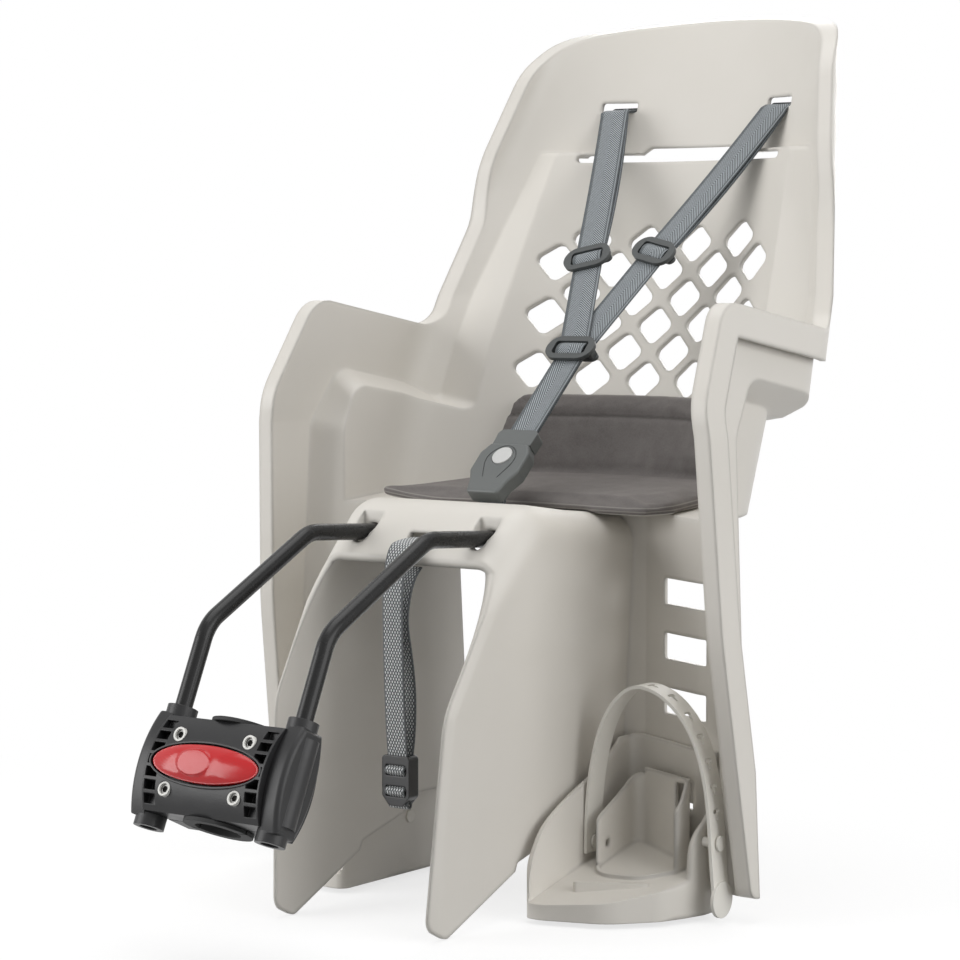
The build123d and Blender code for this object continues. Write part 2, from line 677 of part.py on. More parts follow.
with BuildPart() as block_front:
    with BuildSketch(flank(-BLOCK_HALF_WIDTH)):
        with BuildLine():
            half = BLOCK_HALF_HEIGHT
            Polyline((-BLOCK_FRONT_EDGE, half), (-SPLIT_GAP / 2, half), (-SPLIT_GAP / 2, -half),
                     (-BLOCK_FRONT_EDGE, -half))
            ThreePointArc((-BLOCK_FRONT_EDGE, -half), (-BLOCK_FRONT, 0), (-BLOCK_FRONT_EDGE, half))
        make_face()
    extrude(amount=2 * BLOCK_HALF_WIDTH)
    # Columns of rib pockets at both ends of the barrel
    with BuildSketch(face(-BLOCK_FRONT - 5)):
        for rib in range(RIB_COUNT):
            height = (rib - (RIB_COUNT - 1) / 2) * rib_pitch
            with Locations((RIB_X, height), (-RIB_X, height)):
                Rectangle(RIB_WIDTH, rib_pitch - RIB_WALL)
    extrude(amount=-(BLOCK_FRONT + 5 - RIB_FLOOR), mode=Mode.SUBTRACT)
    # Raised border and pocket of the release button
    with BuildSketch(face(-RIB_FLOOR)):
        border = BUTTON_GAP + BUTTON_BORDER
        Ellipse(BUTTON_HALF_LENGTH + border, BUTTON_HALF_HEIGHT + border)
    extrude(amount=BLOCK_FRONT - RIB_FLOOR - 0.2)
    with BuildSketch(face(pocket_floor)):
        Ellipse(BUTTON_HALF_LENGTH + BUTTON_GAP, BUTTON_HALF_HEIGHT + BUTTON_GAP)
    extrude(amount=30, mode=Mode.SUBTRACT)
    # Guide bores of the button's stems
    with BuildSketch(face(pocket_floor)):
        with Locations(*stem_places):
            Circle(STEM_RADIUS + STEM_CLEARANCE)
    extrude(amount=-(STEM_LENGTH + BUTTON_TRAVEL + 1), mode=Mode.SUBTRACT)
    # Bore for the seat tube and its pad, and the bores of the rods
    with BuildSketch(across(-60)):
        Circle(pad_radius)
        with Locations(*bore_places):
            Circle(ROD_RADIUS + ROD_BORE_CLEARANCE)
    extrude(amount=120, mode=Mode.SUBTRACT)
    # Bolt holes with a seat for each bushing
    with BuildSketch(face(0)):
        with Locations(*bolt_places):
            Circle(BOLT_RADIUS + 0.1)
    extrude(amount=60, mode=Mode.SUBTRACT)
    with BuildSketch(face(-BUSHING_SEAT)):
        with Locations(*bolt_places):
            Circle(BUSHING_RADIUS)
    extrude(amount=30, mode=Mode.SUBTRACT)

with BuildPart() as block_rear:
    with BuildSketch(flank(-BLOCK_REAR_HALF_WIDTH)):
        with BuildLine():
            half = BLOCK_HALF_HEIGHT
            Polyline((BLOCK_REAR_EDGE, half), (SPLIT_GAP / 2, half), (SPLIT_GAP / 2, -half),
                     (BLOCK_REAR_EDGE, -half))
            ThreePointArc((BLOCK_REAR_EDGE, -half), (BLOCK_REAR, 0), (BLOCK_REAR_EDGE, half))
        make_face()
    extrude(amount=2 * BLOCK_REAR_HALF_WIDTH)
    with BuildSketch(across(-60)):
        Circle(pad_radius)
        with Locations(*bore_places):
            Circle(ROD_RADIUS + ROD_BORE_CLEARANCE)
    extrude(amount=120, mode=Mode.SUBTRACT)
    with BuildSketch(face(0)):
        with Locations(*bolt_places):
            Circle(BOLT_RADIUS + 0.1)
    extrude(amount=-60, mode=Mode.SUBTRACT)
    with BuildSketch(face(NUT_SEAT)):
        with Locations(*bolt_places):
            RegularPolygon(NUT_RADIUS + 0.1, 6)
    extrude(amount=-30, mode=Mode.SUBTRACT)

with BuildPart() as block_bushings:
    with BuildSketch(face(-BUSHING_SEAT)):
        with Locations(*bolt_places):
            Circle(BUSHING_RADIUS)
            Circle(BUSHING_BORE, mode=Mode.SUBTRACT)
    extrude(amount=BUSHING_LENGTH)

with BuildPart() as block_bolts:
    with BuildSketch(face(-BUSHING_SEAT)):
        with Locations(*bolt_places):
            Circle(BUSHING_BORE)
    extrude(amount=BUSHING_LENGTH - 1.5)
    with BuildSketch(face(-BUSHING_SEAT)):
        with Locations(*bolt_places):
            Circle(BOLT_RADIUS)
    extrude(amount=-(BUSHING_SEAT + NUT_SEAT + NUT_HEIGHT + 1))
    with BuildSketch(face(-BUSHING_SEAT - BUSHING_LENGTH)):
        with Locations(*bolt_places):
            RegularPolygon(2.4, 6)
    extrude(amount=-4, mode=Mode.SUBTRACT)

with BuildPart() as block_nuts:
    with BuildSketch(face(NUT_SEAT)):
        with Locations(*bolt_places):
            RegularPolygon(NUT_RADIUS, 6)
            Circle(BOLT_RADIUS, mode=Mode.SUBTRACT)
    extrude(amount=-NUT_HEIGHT)


def tube_pad(sign):
    """Half of the rubber liner on the seat tube, with a flange over each end of the block."""
    reach = BLOCK_HALF_HEIGHT + SEAM
    with BuildSketch(across(-reach - PAD_FLANGE_THICKNESS)) as half_flange:
        Circle(PAD_FLANGE)
        Circle(TUBE_RADIUS, mode=Mode.SUBTRACT)
        with Locations((0, -sign * (PAD_FLANGE - SPLIT_GAP / 2))):
            Rectangle(2 * PAD_FLANGE, 2 * PAD_FLANGE, mode=Mode.SUBTRACT)
    with BuildSketch(across(-reach)) as half_liner:
        Circle(pad_radius)
        Circle(TUBE_RADIUS, mode=Mode.SUBTRACT)
        with Locations((0, -sign * (PAD_FLANGE - SPLIT_GAP / 2))):
            Rectangle(2 * PAD_FLANGE, 2 * PAD_FLANGE, mode=Mode.SUBTRACT)
    with BuildPart() as liner:
        extrude(half_liner.sketch, amount=2 * reach)
        extrude(half_flange.sketch, amount=PAD_FLANGE_THICKNESS)
        extrude(half_flange.sketch.moved(Location(across(2 * reach + PAD_FLANGE_THICKNESS).origin)),
                amount=PAD_FLANGE_THICKNESS)
    return liner.part


with BuildPart() as tube_pad_front:
    add(tube_pad(-1))

with BuildPart() as tube_pad_rear:
    add(tube_pad(1))

# Side cover that guides one rod, with collars at its top and foot and a ridge along the rod
with BuildPart() as block_cover_right:
    with BuildSketch(flank(BLOCK_HALF_WIDTH + SEAM)):
        with BuildLine():
            tall = COVER_HALF_HEIGHT
            Polyline((-COVER_FRONT, tall), (COVER_REAR, tall))
            ThreePointArc((COVER_REAR, tall), (COVER_REAR + 7, 0), (COVER_REAR, -tall))
            Line((COVER_REAR, -tall), (-COVER_FRONT, -tall))
            ThreePointArc((-COVER_FRONT, -tall), (-COVER_FRONT - 8, 0), (-COVER_FRONT, tall))
        make_face()
    extrude(amount=COVER_WIDTH)
    fillet(block_cover_right.faces().sort_by(Axis.X)[-1].edges(), 4)
    with BuildSketch(across(-COVER_HALF_HEIGHT + 6)):
        with Locations((ROD_X + RIDGE_OUT, ROD_DEPTH)):
            Circle(RIDGE_RADIUS)
    extrude(amount=2 * COVER_HALF_HEIGHT - 12)
    with BuildSketch(across(-COVER_HALF_HEIGHT - COLLAR_HEIGHT)):
        with Locations((ROD_X, ROD_DEPTH)):
            Circle(COLLAR_RADIUS)
    extrude(amount=2 * (COVER_HALF_HEIGHT + COLLAR_HEIGHT))
    with BuildSketch(flank(0)):
        Rectangle(200, 2 * (BLOCK_HALF_HEIGHT + SEAM))
    extrude(amount=BLOCK_HALF_WIDTH + SEAM, mode=Mode.SUBTRACT)
    with BuildSketch(across(-80)):
        with Locations((ROD_X, ROD_DEPTH)):
            Circle(ROD_RADIUS + ROD_BORE_CLEARANCE)
    extrude(amount=160, mode=Mode.SUBTRACT)

with BuildPart() as block_cover_left:
    mirror(block_cover_right.part, about=Plane.YZ)

# Red release button: a domed oval on two stems
with BuildPart() as release_button:
    with BuildSketch(face(pocket_floor - BUTTON_TRAVEL - 0.3)):
        Ellipse(BUTTON_HALF_LENGTH, BUTTON_HALF_HEIGHT)
    extrude(amount=BUTTON_DOME)
    with BuildSketch(flank(0)):
        with BuildLine():
            crown = pocket_floor - BUTTON_TRAVEL - BUTTON_DOME
            Polyline((crown + 2.6, 20), (crown - 40, 20), (crown - 40, -20), (crown + 2.6, -20))
            ThreePointArc((crown + 2.6, -20), (crown, 0), (crown + 2.6, 20))
        make_face()
    extrude(amount=100, both=True, mode=Mode.SUBTRACT)
    with BuildSketch(across(0)):
        with BuildLine():
            far = BUTTON_HALF_LENGTH + 4
            Polyline((far, crown + 3), (far, crown - 40), (-far, crown - 40), (-far, crown + 3))
            ThreePointArc((-far, crown + 3), (0, crown), (far, crown + 3))
        make_face()
    extrude(amount=60, both=True, mode=Mode.SUBTRACT)
    with BuildSketch(face(crown + 2)):
        with Locations((DISC_X, 0)):
            Ellipse(DISC_HALF_LENGTH, DISC_HALF_HEIGHT)
    extrude(amount=2.3)
    with BuildSketch(face(pocket_floor - BUTTON_TRAVEL - 0.3)):
        with Locations(*stem_places):
            Circle(STEM_RADIUS)
    extrude(amount=-(STEM_LENGTH + BUTTON_TRAVEL))

# Seat pad: lies on the pan and turns up the lower backrest
with BuildPart() as seat_pad:
    add(inner_bucket(-PAD_LIFT))
    add(inner_bucket(-PAD_DEPTH), mode=Mode.SUBTRACT)
    with BuildSketch(side(-HALF_SPAN)):
        with BuildLine():
            under = PAN_Z - PAN_FALL - 1
            over = PAN_Z + PAD_DEPTH + 6
            Polyline(
                (PAD_FRONT_Y, under), (PAD_FRONT_Y, over), (200, over), (200, PAD_TOP_Z), (420, PAD_TOP_Z),
                (420, under), close=True,
            )
        make_face()
    extrude(amount=2 * HALF_SPAN, mode=Mode.INTERSECT)
    with BuildSketch(front(0)):
        with BuildLine():
            FilletPolyline(
                (PAD_TOP_HALF, PAD_TOP_Z + 2), (PAD_BACK_HALF, PAN_Z + 26), (PAD_HALF, PAN_Z + 17),
                (PAD_HALF, 240), (-PAD_HALF, 240), (-PAD_HALF, PAN_Z + 17), (-PAD_BACK_HALF, PAN_Z + 26),
                (-PAD_TOP_HALF, PAD_TOP_Z + 2),
                radius=[16.0, 8.0, 6.0, 0.0, 0.0, 6.0, 8.0, 16.0], close=True,
            )
        make_face()
    extrude(amount=-400, mode=Mode.INTERSECT)
    with BuildSketch(level(200)):
        with BuildLine():
            wide = PAD_HALF + 5
            FilletPolyline(
                (PAD_CORNER, PAD_FRONT_Y), (wide, PAD_FRONT_Y + PAD_SWEEP), (wide, 400), (-wide, 400),
                (-wide, PAD_FRONT_Y + PAD_SWEEP), (-PAD_CORNER, PAD_FRONT_Y),
                radius=[28.0, 28.0, 0.0, 0.0, 28.0, 28.0], close=True,
            )
        make_face()
    extrude(amount=300, mode=Mode.INTERSECT)
    add(nose(-PAD_LIFT), mode=Mode.SUBTRACT)

# Shoulder straps: two bands that lie in one plane, one over the other where they meet
harness = inclined(JOIN_Y, JOIN_Z, HARNESS_TILT)


def shoulder_strap(sign, layer):
    """Band from a shoulder slot down to the join, on one side and at one layer."""
    with BuildPart() as band:
        with BuildSketch(harness.offset(layer)):
            with Locations((sign * STRAP_SLOT_X / 2, HARNESS_RUN / 2)):
                Rectangle(WEB_WIDTH, BAND_LENGTH, rotation=-sign * BAND_ANGLE)
        extrude(amount=WEB_THICKNESS)
        with BuildSketch(level(STRAP_TOP_Z - WEB_THICKNESS / 2)):
            with Locations((sign * STRAP_SLOT_X, SLOT_Y + 14)):
                Rectangle(WEB_WIDTH, 32)
        extrude(amount=WEB_THICKNESS)
    return band.part


with BuildPart() as shoulder_strap_left:
    add(shoulder_strap(-1, LAYER_GAP / 2))

with BuildPart() as shoulder_strap_right:
    add(shoulder_strap(1, -LAYER_GAP / 2 - WEB_THICKNESS))

# Retainer bar behind each shoulder slot
with BuildPart() as strap_retainers:
    with BuildSketch(front(SLOT_Y + 24)):
        with Locations((STRAP_SLOT_X, STRAP_TOP_Z - 4.5), (-STRAP_SLOT_X, STRAP_TOP_Z - 4.5)):
            RectangleRounded(WEB_WIDTH + 14, 15, 4)
        with Locations((STRAP_SLOT_X, STRAP_TOP_Z), (-STRAP_SLOT_X, STRAP_TOP_Z)):
            Rectangle(WEB_WIDTH + 1, WEB_THICKNESS + 1, mode=Mode.SUBTRACT)
    extrude(amount=-4)


def slider(plane, spread, window):
    """Oval slider round a strap: a window frame in front, two posts and a bar behind."""
    post = window / 2 + 2
    with BuildPart() as frame:
        with BuildSketch(plane.offset(spread)):
            SlotOverall(window + 13, SLIDER_WIDTH)
            RectangleRounded(window, SLIDER_WIDTH - 10, 3, mode=Mode.SUBTRACT)
        extrude(amount=SLIDER_THICKNESS)
        with BuildSketch(plane.offset(-spread)):
            SlotOverall(window + 11, 8)
        extrude(amount=-2.4)
        with BuildSketch(plane.offset(-spread)):
            with Locations((post, 0), (-post, 0)):
                Rectangle(3, 7)
        extrude(amount=2 * spread)
    return frame.part


def strap_place(sign, run, layer):
    """Plane on a shoulder strap at a distance along it, turned with the strap."""
    turn = radians(BAND_ANGLE)
    point = harness.offset(layer).from_local_coords((sign * run * tan(turn), run))
    across_band = harness.x_dir * cos(turn) - harness.y_dir * sign * sin(turn)
    return Plane(origin=point, x_dir=across_band, z_dir=harness.z_dir)


middle = LAYER_GAP / 2 + WEB_THICKNESS / 2
with BuildPart() as strap_slider_left:
    add(slider(strap_place(-1, SLIDER_LEFT_RUN, middle), WEB_THICKNESS / 2 + 0.3, WEB_WIDTH + 2))

with BuildPart() as strap_slider_right:
    add(slider(strap_place(1, SLIDER_RIGHT_RUN, -middle), WEB_THICKNESS / 2 + 0.3, WEB_WIDTH + 2))

# Joined strap from the join down into the tongue, under a slider that sits on the bend
buckle = inclined(BUCKLE_Y, BUCKLE_Z, BUCKLE_TILT)
tongue_mouth = buckle.from_local_coords((0, BUCKLE_LENGTH + TONGUE_LENGTH, BUCKLE_THICKNESS / 2 - 1))
lower_y = JOIN_Y - (tongue_mouth.Y - SEAT_Y)
lower_z = JOIN_Z - (tongue_mouth.Z - SEAT_Z)
lower_tilt = degrees(atan2(lower_y, lower_z))
lower_harness = inclined(JOIN_Y, JOIN_Z, lower_tilt)
lower_end = hypot(lower_y, lower_z) + STRAP_INTO_TONGUE

with BuildPart() as harness_strap:
    with BuildSketch(lower_harness.offset(-WEB_THICKNESS)):
        with Locations((0, -(LOWER_START + lower_end) / 2)):
            Rectangle(WEB_WIDTH, lower_end - LOWER_START)
    extrude(amount=2 * WEB_THICKNESS)

with BuildPart() as strap_slider_join:
    bend = inclined(JOIN_Y, JOIN_Z, (HARNESS_TILT + lower_tilt) / 2)
    add(slider(bend, WEB_THICKNESS + LAYER_GAP / 2 + 1.4, WEB_WIDTH + 5))

# Buckle: tongue, body with a push button, and the crotch strap that ties it to the pan
with BuildPart() as buckle_tongue:
    with BuildSketch(buckle):
        with BuildLine():
            FilletPolyline(
                (-17, BUCKLE_LENGTH + SEAM), (17, BUCKLE_LENGTH + SEAM), (18, BUCKLE_LENGTH + TONGUE_LENGTH),
                (-18, BUCKLE_LENGTH + TONGUE_LENGTH), radius=[0.0, 0.0, 5.0, 5.0], close=True,
            )
        make_face()
    extrude(amount=BUCKLE_THICKNESS - 2)
    with BuildSketch(lower_harness.offset(-WEB_THICKNESS - 0.4)):
        with Locations((0, -lower_end + 8)):
            Rectangle(WEB_WIDTH + 1, 18)
    extrude(amount=2 * WEB_THICKNESS + 0.8, mode=Mode.SUBTRACT)

with BuildPart() as buckle_body:
    with BuildSketch(buckle):
        with BuildLine():
            FilletPolyline(
                (-14, 0), (14, 0), (17, 12), (22, 22), (22, 40), (17, BUCKLE_LENGTH), (-17, BUCKLE_LENGTH),
                (-22, 40), (-22, 22), (-17, 12),
                radius=[3.0, 3.0, 8.0, 6.0, 8.0, 3.0, 3.0, 8.0, 6.0, 8.0], close=True,
            )
        make_face()
    extrude(amount=BUCKLE_THICKNESS)
    fillet(buckle_body.faces().sort_by(Axis.Z)[-1].edges(), 2)
    with BuildSketch(buckle.offset(BUCKLE_THICKNESS)):
        with Locations((0, PUSH_UP)):
            Circle(PUSH_RADIUS + PUSH_CLEARANCE)
    extrude(amount=-PUSH_DEPTH - PUSH_TRAVEL - 0.3, mode=Mode.SUBTRACT)
    with BuildSketch(buckle.offset(BUCKLE_THICKNESS)):
        with BuildLine():
            Spline(*ENGRAVING, ENGRAVING_TOP, *[(-x, y) for x, y in reversed(ENGRAVING)])
        trace(line_width=0.9)
    extrude(amount=-0.7, mode=Mode.SUBTRACT)
    with BuildSketch(level(PAN_Z - 10)):
        with Locations((0, CROTCH_Y)):
            Rectangle(WEB_WIDTH + 1, WEB_THICKNESS + 1)
    extrude(amount=32, mode=Mode.SUBTRACT)

with BuildPart() as buckle_button:
    with BuildSketch(buckle.offset(BUCKLE_THICKNESS - PUSH_DEPTH)):
        with Locations((0, PUSH_UP)):
            Circle(PUSH_RADIUS)
    extrude(amount=PUSH_DEPTH + 0.8)
    fillet(buckle_button.faces().sort_by(Axis.Z)[-1].edges(), 0.6)

with BuildPart() as crotch_strap:
    with BuildSketch(level(CROTCH_LOW_Z)):
        with Locations((0, CROTCH_Y)):
            Rectangle(WEB_WIDTH, WEB_THICKNESS)
    extrude(amount=CROTCH_TOP_Z - CROTCH_LOW_Z)

with BuildPart() as crotch_anchor:
    with BuildSketch(level(CROTCH_LOW_Z + 2)):
        with Locations((0, CROTCH_Y)):
            RectangleRounded(WEB_WIDTH + 14, 14, 4)
            Rectangle(WEB_WIDTH + 1, WEB_THICKNESS + 1, mode=Mode.SUBTRACT)
    extrude(amount=4)

# Safety strap: comes out of the apron, hangs down and doubles back through a ladder buckle
with BuildPart() as safety_strap:
    with BuildSketch(side(SAFETY_X - SAFETY_WIDTH / 2)):
        with BuildLine():
            behind = SAFETY_FRONT_Y + SAFETY_GAP
            turn = SAFETY_GAP / 2 - 0.1
            sill = ROD_SOCKET_Z - SAFETY_SLOT / 2 + WEB_THICKNESS / 2 + 0.1
            FilletPolyline(
                (8, sill), (SAFETY_FRONT_Y + 11, sill), (SAFETY_FRONT_Y, sill - 14),
                (SAFETY_FRONT_Y, SAFETY_LOW_Z), (behind, SAFETY_LOW_Z), (behind, 236),
                (behind + 12, 249), radius=[10.0, 12.0, turn, turn, 10.0],
            )
        trace(line_width=WEB_THICKNESS)
    extrude(amount=SAFETY_WIDTH)

with BuildPart() as safety_buckle:
    with BuildSketch(front(SAFETY_FRONT_Y - SAFETY_BUCKLE_RIM)):
        with BuildLine():
            half = SAFETY_WIDTH / 2 + SAFETY_BUCKLE_RIM
            top = SAFETY_BUCKLE_Z + SAFETY_BUCKLE_HEIGHT / 2
            low = SAFETY_BUCKLE_Z - SAFETY_BUCKLE_HEIGHT / 2
            FilletPolyline(
                (-half, top), (half, top), (half, low + 7), (half - 6, low), (6 - half, low),
                (-half, low + 7), radius=3, close=True,
            )
        make_face()
    extrude(amount=-(SAFETY_GAP + 2 * SAFETY_BUCKLE_RIM))
    with BuildSketch(level(0)):
        with Locations((SAFETY_X, SAFETY_FRONT_Y), (SAFETY_X, SAFETY_FRONT_Y + SAFETY_GAP)):
            Rectangle(SAFETY_WIDTH + 1.2, WEB_THICKNESS + 1.2)
    extrude(amount=200, mode=Mode.SUBTRACT)
    with BuildSketch(front(SAFETY_FRONT_Y - 10)):
        with Locations((SAFETY_X, SAFETY_BUCKLE_Z + 7.5), (SAFETY_X, SAFETY_BUCKLE_Z - 7.5)):
            RectangleRounded(SAFETY_WIDTH, 8, 1.5)
    extrude(amount=-10, mode=Mode.SUBTRACT)


# Footrests: a sloped foot bed with an inner plate, a heel cup and a rear wall that runs on the ladder
def channel_y(x):
    """Front face of the channel's rear wall at x, less the running clearance."""
    (near, mid, far), (near_y, mid_y, far_y) = CHANNEL_STATIONS, CHANNEL_DEPTHS
    if x <= near:
        return near_y - STEP_CLEARANCE
    if x <= mid:
        return near_y + (x - near) / (mid - near) * (mid_y - near_y) - STEP_CLEARANCE
    return mid_y + (x - mid) / (far - mid) * (far_y - mid_y) - STEP_CLEARANCE


step_outline = outline(
    level(STEP_BOTTOM_Z),
    [(STEP_INNER_X, 2), (96, 1), (142, 16), (168, 46), (176, 66), (STEP_OUTER_X, 84)]
    + [(x, channel_y(x)) for x in (STEP_OUTER_X, CHANNEL_STATIONS[1], CHANNEL_STATIONS[0], STEP_INNER_X)],
    [8.0, 30.0, 40.0, 30.0, 20.0, 6.0, 2.0, 10.0, 8.0, 8.0],
)


def step_inset(distance):
    """Outline of the footrest moved inwards."""
    return offset(step_outline, -distance, kind=Kind.ARC, mode=Mode.PRIVATE)


def bed_z(y):
    """Height of the sloped foot bed."""
    return BED_FRONT_Z + BED_SLOPE * y


def under_bed(drop):
    """Everything under the foot bed, lowered by drop."""
    with BuildSketch(side(STEP_INNER_X - 20)) as wedge:
        with BuildLine():
            top = [(y, bed_z(y) - drop) for y in (-40, 200)]
            Polyline(*top, (200, -200), (-40, -200), close=True)
        make_face()
    with BuildPart() as block:
        extrude(wedge.sketch, amount=160)
    return block.part


def wall_top(x, foot, points):
    """Everything over a wall's curved top edge, from x outwards; foot is the straight edge before it."""
    with BuildSketch(side(x)) as above:
        with BuildLine():
            Spline(*points)
            Polyline(points[-1], (200, points[-1][1] + 3), (200, 260), (-60, 260), *foot, points[0])
        make_face()
    return above.sketch


with BuildPart() as step_bed:
    extrude(step_outline, amount=100)
    add(under_bed(0), mode=Mode.INTERSECT)

with BuildPart() as step_hollow:
    extrude(step_inset(STEP_WALL), amount=100)
    add(under_bed(STEP_WALL), mode=Mode.INTERSECT)

cup_outline = outline(
    level(STEP_BOTTOM_Z),
    [(CUP_X, CUP_FRONT_Y), (140, CUP_FRONT_Y + 2), (CUP_FAR_X, 78), (CUP_FAR_X, channel_y(CUP_FAR_X) - 11),
     (CUP_X, channel_y(CUP_X) - 11)],
    [20.0, 25.0, 12.0, 9.0, 9.0],
)
cup_inside = offset(cup_outline, -CUP_WALL, kind=Kind.ARC, mode=Mode.PRIVATE)

with BuildPart() as cup_lip:
    extrude(cup_outline, amount=CUP_TOP_Z)
    extrude(cup_inside, amount=CUP_TOP_Z, mode=Mode.SUBTRACT)
    add(under_bed(-CUP_LIP), mode=Mode.INTERSECT)
    add(under_bed(1), mode=Mode.SUBTRACT)

with BuildPart() as heel_cup:
    extrude(cup_outline, amount=CUP_TOP_Z - STEP_BOTTOM_Z)
    extrude(cup_inside, amount=CUP_TOP_Z, mode=Mode.SUBTRACT)
    # The front stands open
    with BuildSketch(level(STEP_BOTTOM_Z)):
        with Locations(((CUP_X + CUP_FAR_X) / 2, 38)):
            Rectangle(CUP_FAR_X - CUP_X - 2 * CUP_WALL, 80)
    extrude(amount=CUP_TOP_Z, mode=Mode.SUBTRACT)
    add(under_bed(1), mode=Mode.SUBTRACT)
    cup_foot = [(-60, 16), (70, 16)]
    near_edge = [(70, 26), (60, 35), (53.5, 46), (59.5, 57.5), (70, 65), (94, 77), (112, 87), (128, 97)]
    far_edge = [(70, 26), (62, 35), (60, 46), (66, 60), (78, 76), (90, 97)]
    extrude(wall_top(CUP_X - 10, cup_foot, near_edge), amount=20, mode=Mode.SUBTRACT)
    extrude(wall_top(CUP_FAR_X - 20, cup_foot, far_edge), amount=40, mode=Mode.SUBTRACT)
    add(cup_lip.part)

with BuildPart() as footrest_right:
    extrude(step_outline, amount=STEP_TOP_Z - STEP_BOTTOM_Z)
    extrude(step_inset(STEP_WALL), amount=STEP_TOP_Z, mode=Mode.SUBTRACT)
    inner_edge = [
        (4, 20), (6, 37), (13, 50.5), (21, 61), (44, 76), (68, 86.5), (90, 95), (112, 107), (124, 116),
    ]
    outer_edge = [(70, 24), (71.4, 44), (73.8, 56), (78, 63), (93, 78), (98, 92), (100, 117)]
    plate_x = STEP_INNER_X + STEP_WALL + 0.5
    plate_foot = [(-60, 17), (4, 17)]
    lip_foot = [(-60, bed_z(0) + 0.6), (0, bed_z(0) + 0.6), (45, 24)]
    extrude(wall_top(STEP_INNER_X - 10, plate_foot, inner_edge), amount=STEP_WALL + 10.5, mode=Mode.SUBTRACT)
    extrude(wall_top(plate_x, lip_foot, outer_edge), amount=160, mode=Mode.SUBTRACT)
    add(step_bed.part)
    add(step_hollow.part, mode=Mode.SUBTRACT)
    add(heel_cup.part)
    # Grip bar across the foot bed
    with BuildSketch(level(bed_z(46) - 6)):
        with Locations((129, 42)):
            SlotOverall(54, 6, rotation=26)
    extrude(amount=9)
    # Opening of the height latch in the rear wall
    with BuildSketch(front(80)):
        with Locations((LATCH_X, LATCH_Z)):
            RectangleRounded(12, 20, 1)
    extrude(amount=-80, mode=Mode.SUBTRACT)
    # Hole of the strap's rivet
    with BuildSketch(side(STEP_INNER_X - 10)):
        with Locations((STRAP_Y, RIVET_Z)):
            Circle(RIVET_RADIUS + 0.05)
    extrude(amount=30, mode=Mode.SUBTRACT)

with BuildPart() as footrest_left:
    mirror(footrest_right.part, about=Plane.YZ)

# Foot strap: a moulded band from the inner plate over the foot to a stud on the outer wall
with BuildPart() as foot_strap_right:
    with BuildSketch(front(STRAP_Y - STRAP_WIDTH / 2)):
        with BuildLine() as arch:
            Spline(*STRAP_RISE, *STRAP_FALL)
        trace(line_width=STRAP_THICKNESS)
    extrude(amount=-STRAP_WIDTH)
    with BuildSketch(Plane.YZ.offset(STRAP_FALL[-1][0] - STRAP_THICKNESS / 2)):
        with Locations((SEAT_Y + STRAP_Y, SEAT_Z + TAB_Z)):
            Circle(TAB_RADIUS)
    extrude(amount=STRAP_THICKNESS)
    # T-shaped adjustment holes
    arch_wire = arch.wires()[0]
    for hole in range(STRAP_HOLES):
        share = STRAP_HOLES_FROM + (STRAP_HOLES_TO - STRAP_HOLES_FROM) * hole / (STRAP_HOLES - 1)
        spot = arch_wire.position_at(share)
        run = arch_wire.tangent_at(share)
        centre = front(STRAP_Y).from_local_coords((spot.X, spot.Y))
        with BuildSketch(Plane(origin=centre, x_dir=(0, 1, 0), z_dir=(-run.Y, 0, run.X)).offset(-5)):
            with Locations((0, 2.4)):
                RectangleRounded(8, 2.8, 1.2)
            Rectangle(2.6, 7.4)
        extrude(amount=10, mode=Mode.SUBTRACT)
    # Holes of the stud and the rivet
    with BuildSketch(side(STEP_INNER_X - 10)):
        with Locations((STRAP_Y, RIVET_Z)):
            Circle(RIVET_RADIUS + 0.1)
    extrude(amount=30, mode=Mode.SUBTRACT)
    with BuildSketch(side(STEP_OUTER_X)):
        with Locations((STRAP_Y, STUD_Z)):
            Circle(STUD_RADIUS + 0.3)
    extrude(amount=30, mode=Mode.SUBTRACT)

with BuildPart() as foot_strap_left:
    mirror(foot_strap_right.part, about=Plane.YZ)

# Stud that the strap buttons onto, and the rivet through its inner end
with BuildPart() as foot_studs_right:
    with BuildSketch(side(STEP_OUTER_X + 0.05)):
        with Locations((STRAP_Y, STUD_Z)):
            Circle(STUD_RADIUS)
    extrude(amount=13)
    with BuildSketch(side(STEP_OUTER_X + 12.6)):
        with Locations((STRAP_Y, STUD_Z)):
            Circle(STUD_RADIUS + 2)
    extrude(amount=1.8)
    with BuildSketch(side(STEP_INNER_X - 1.2)):
        with Locations((STRAP_Y, RIVET_Z)):
            Circle(RIVET_RADIUS + 2)
    extrude(amount=1.1)
    with BuildSketch(side(STEP_INNER_X - 0.2)):
        with Locations((STRAP_Y, RIVET_Z)):
            Circle(RIVET_RADIUS)
    extrude(amount=7.8)
    with BuildSketch(side(STEP_INNER_X + 7.0)):
        with Locations((STRAP_Y, RIVET_Z)):
            Circle(RIVET_RADIUS + 2)
    extrude(amount=1.4)

with BuildPart() as foot_studs_left:
    mirror(foot_studs_right.part, about=Plane.YZ)

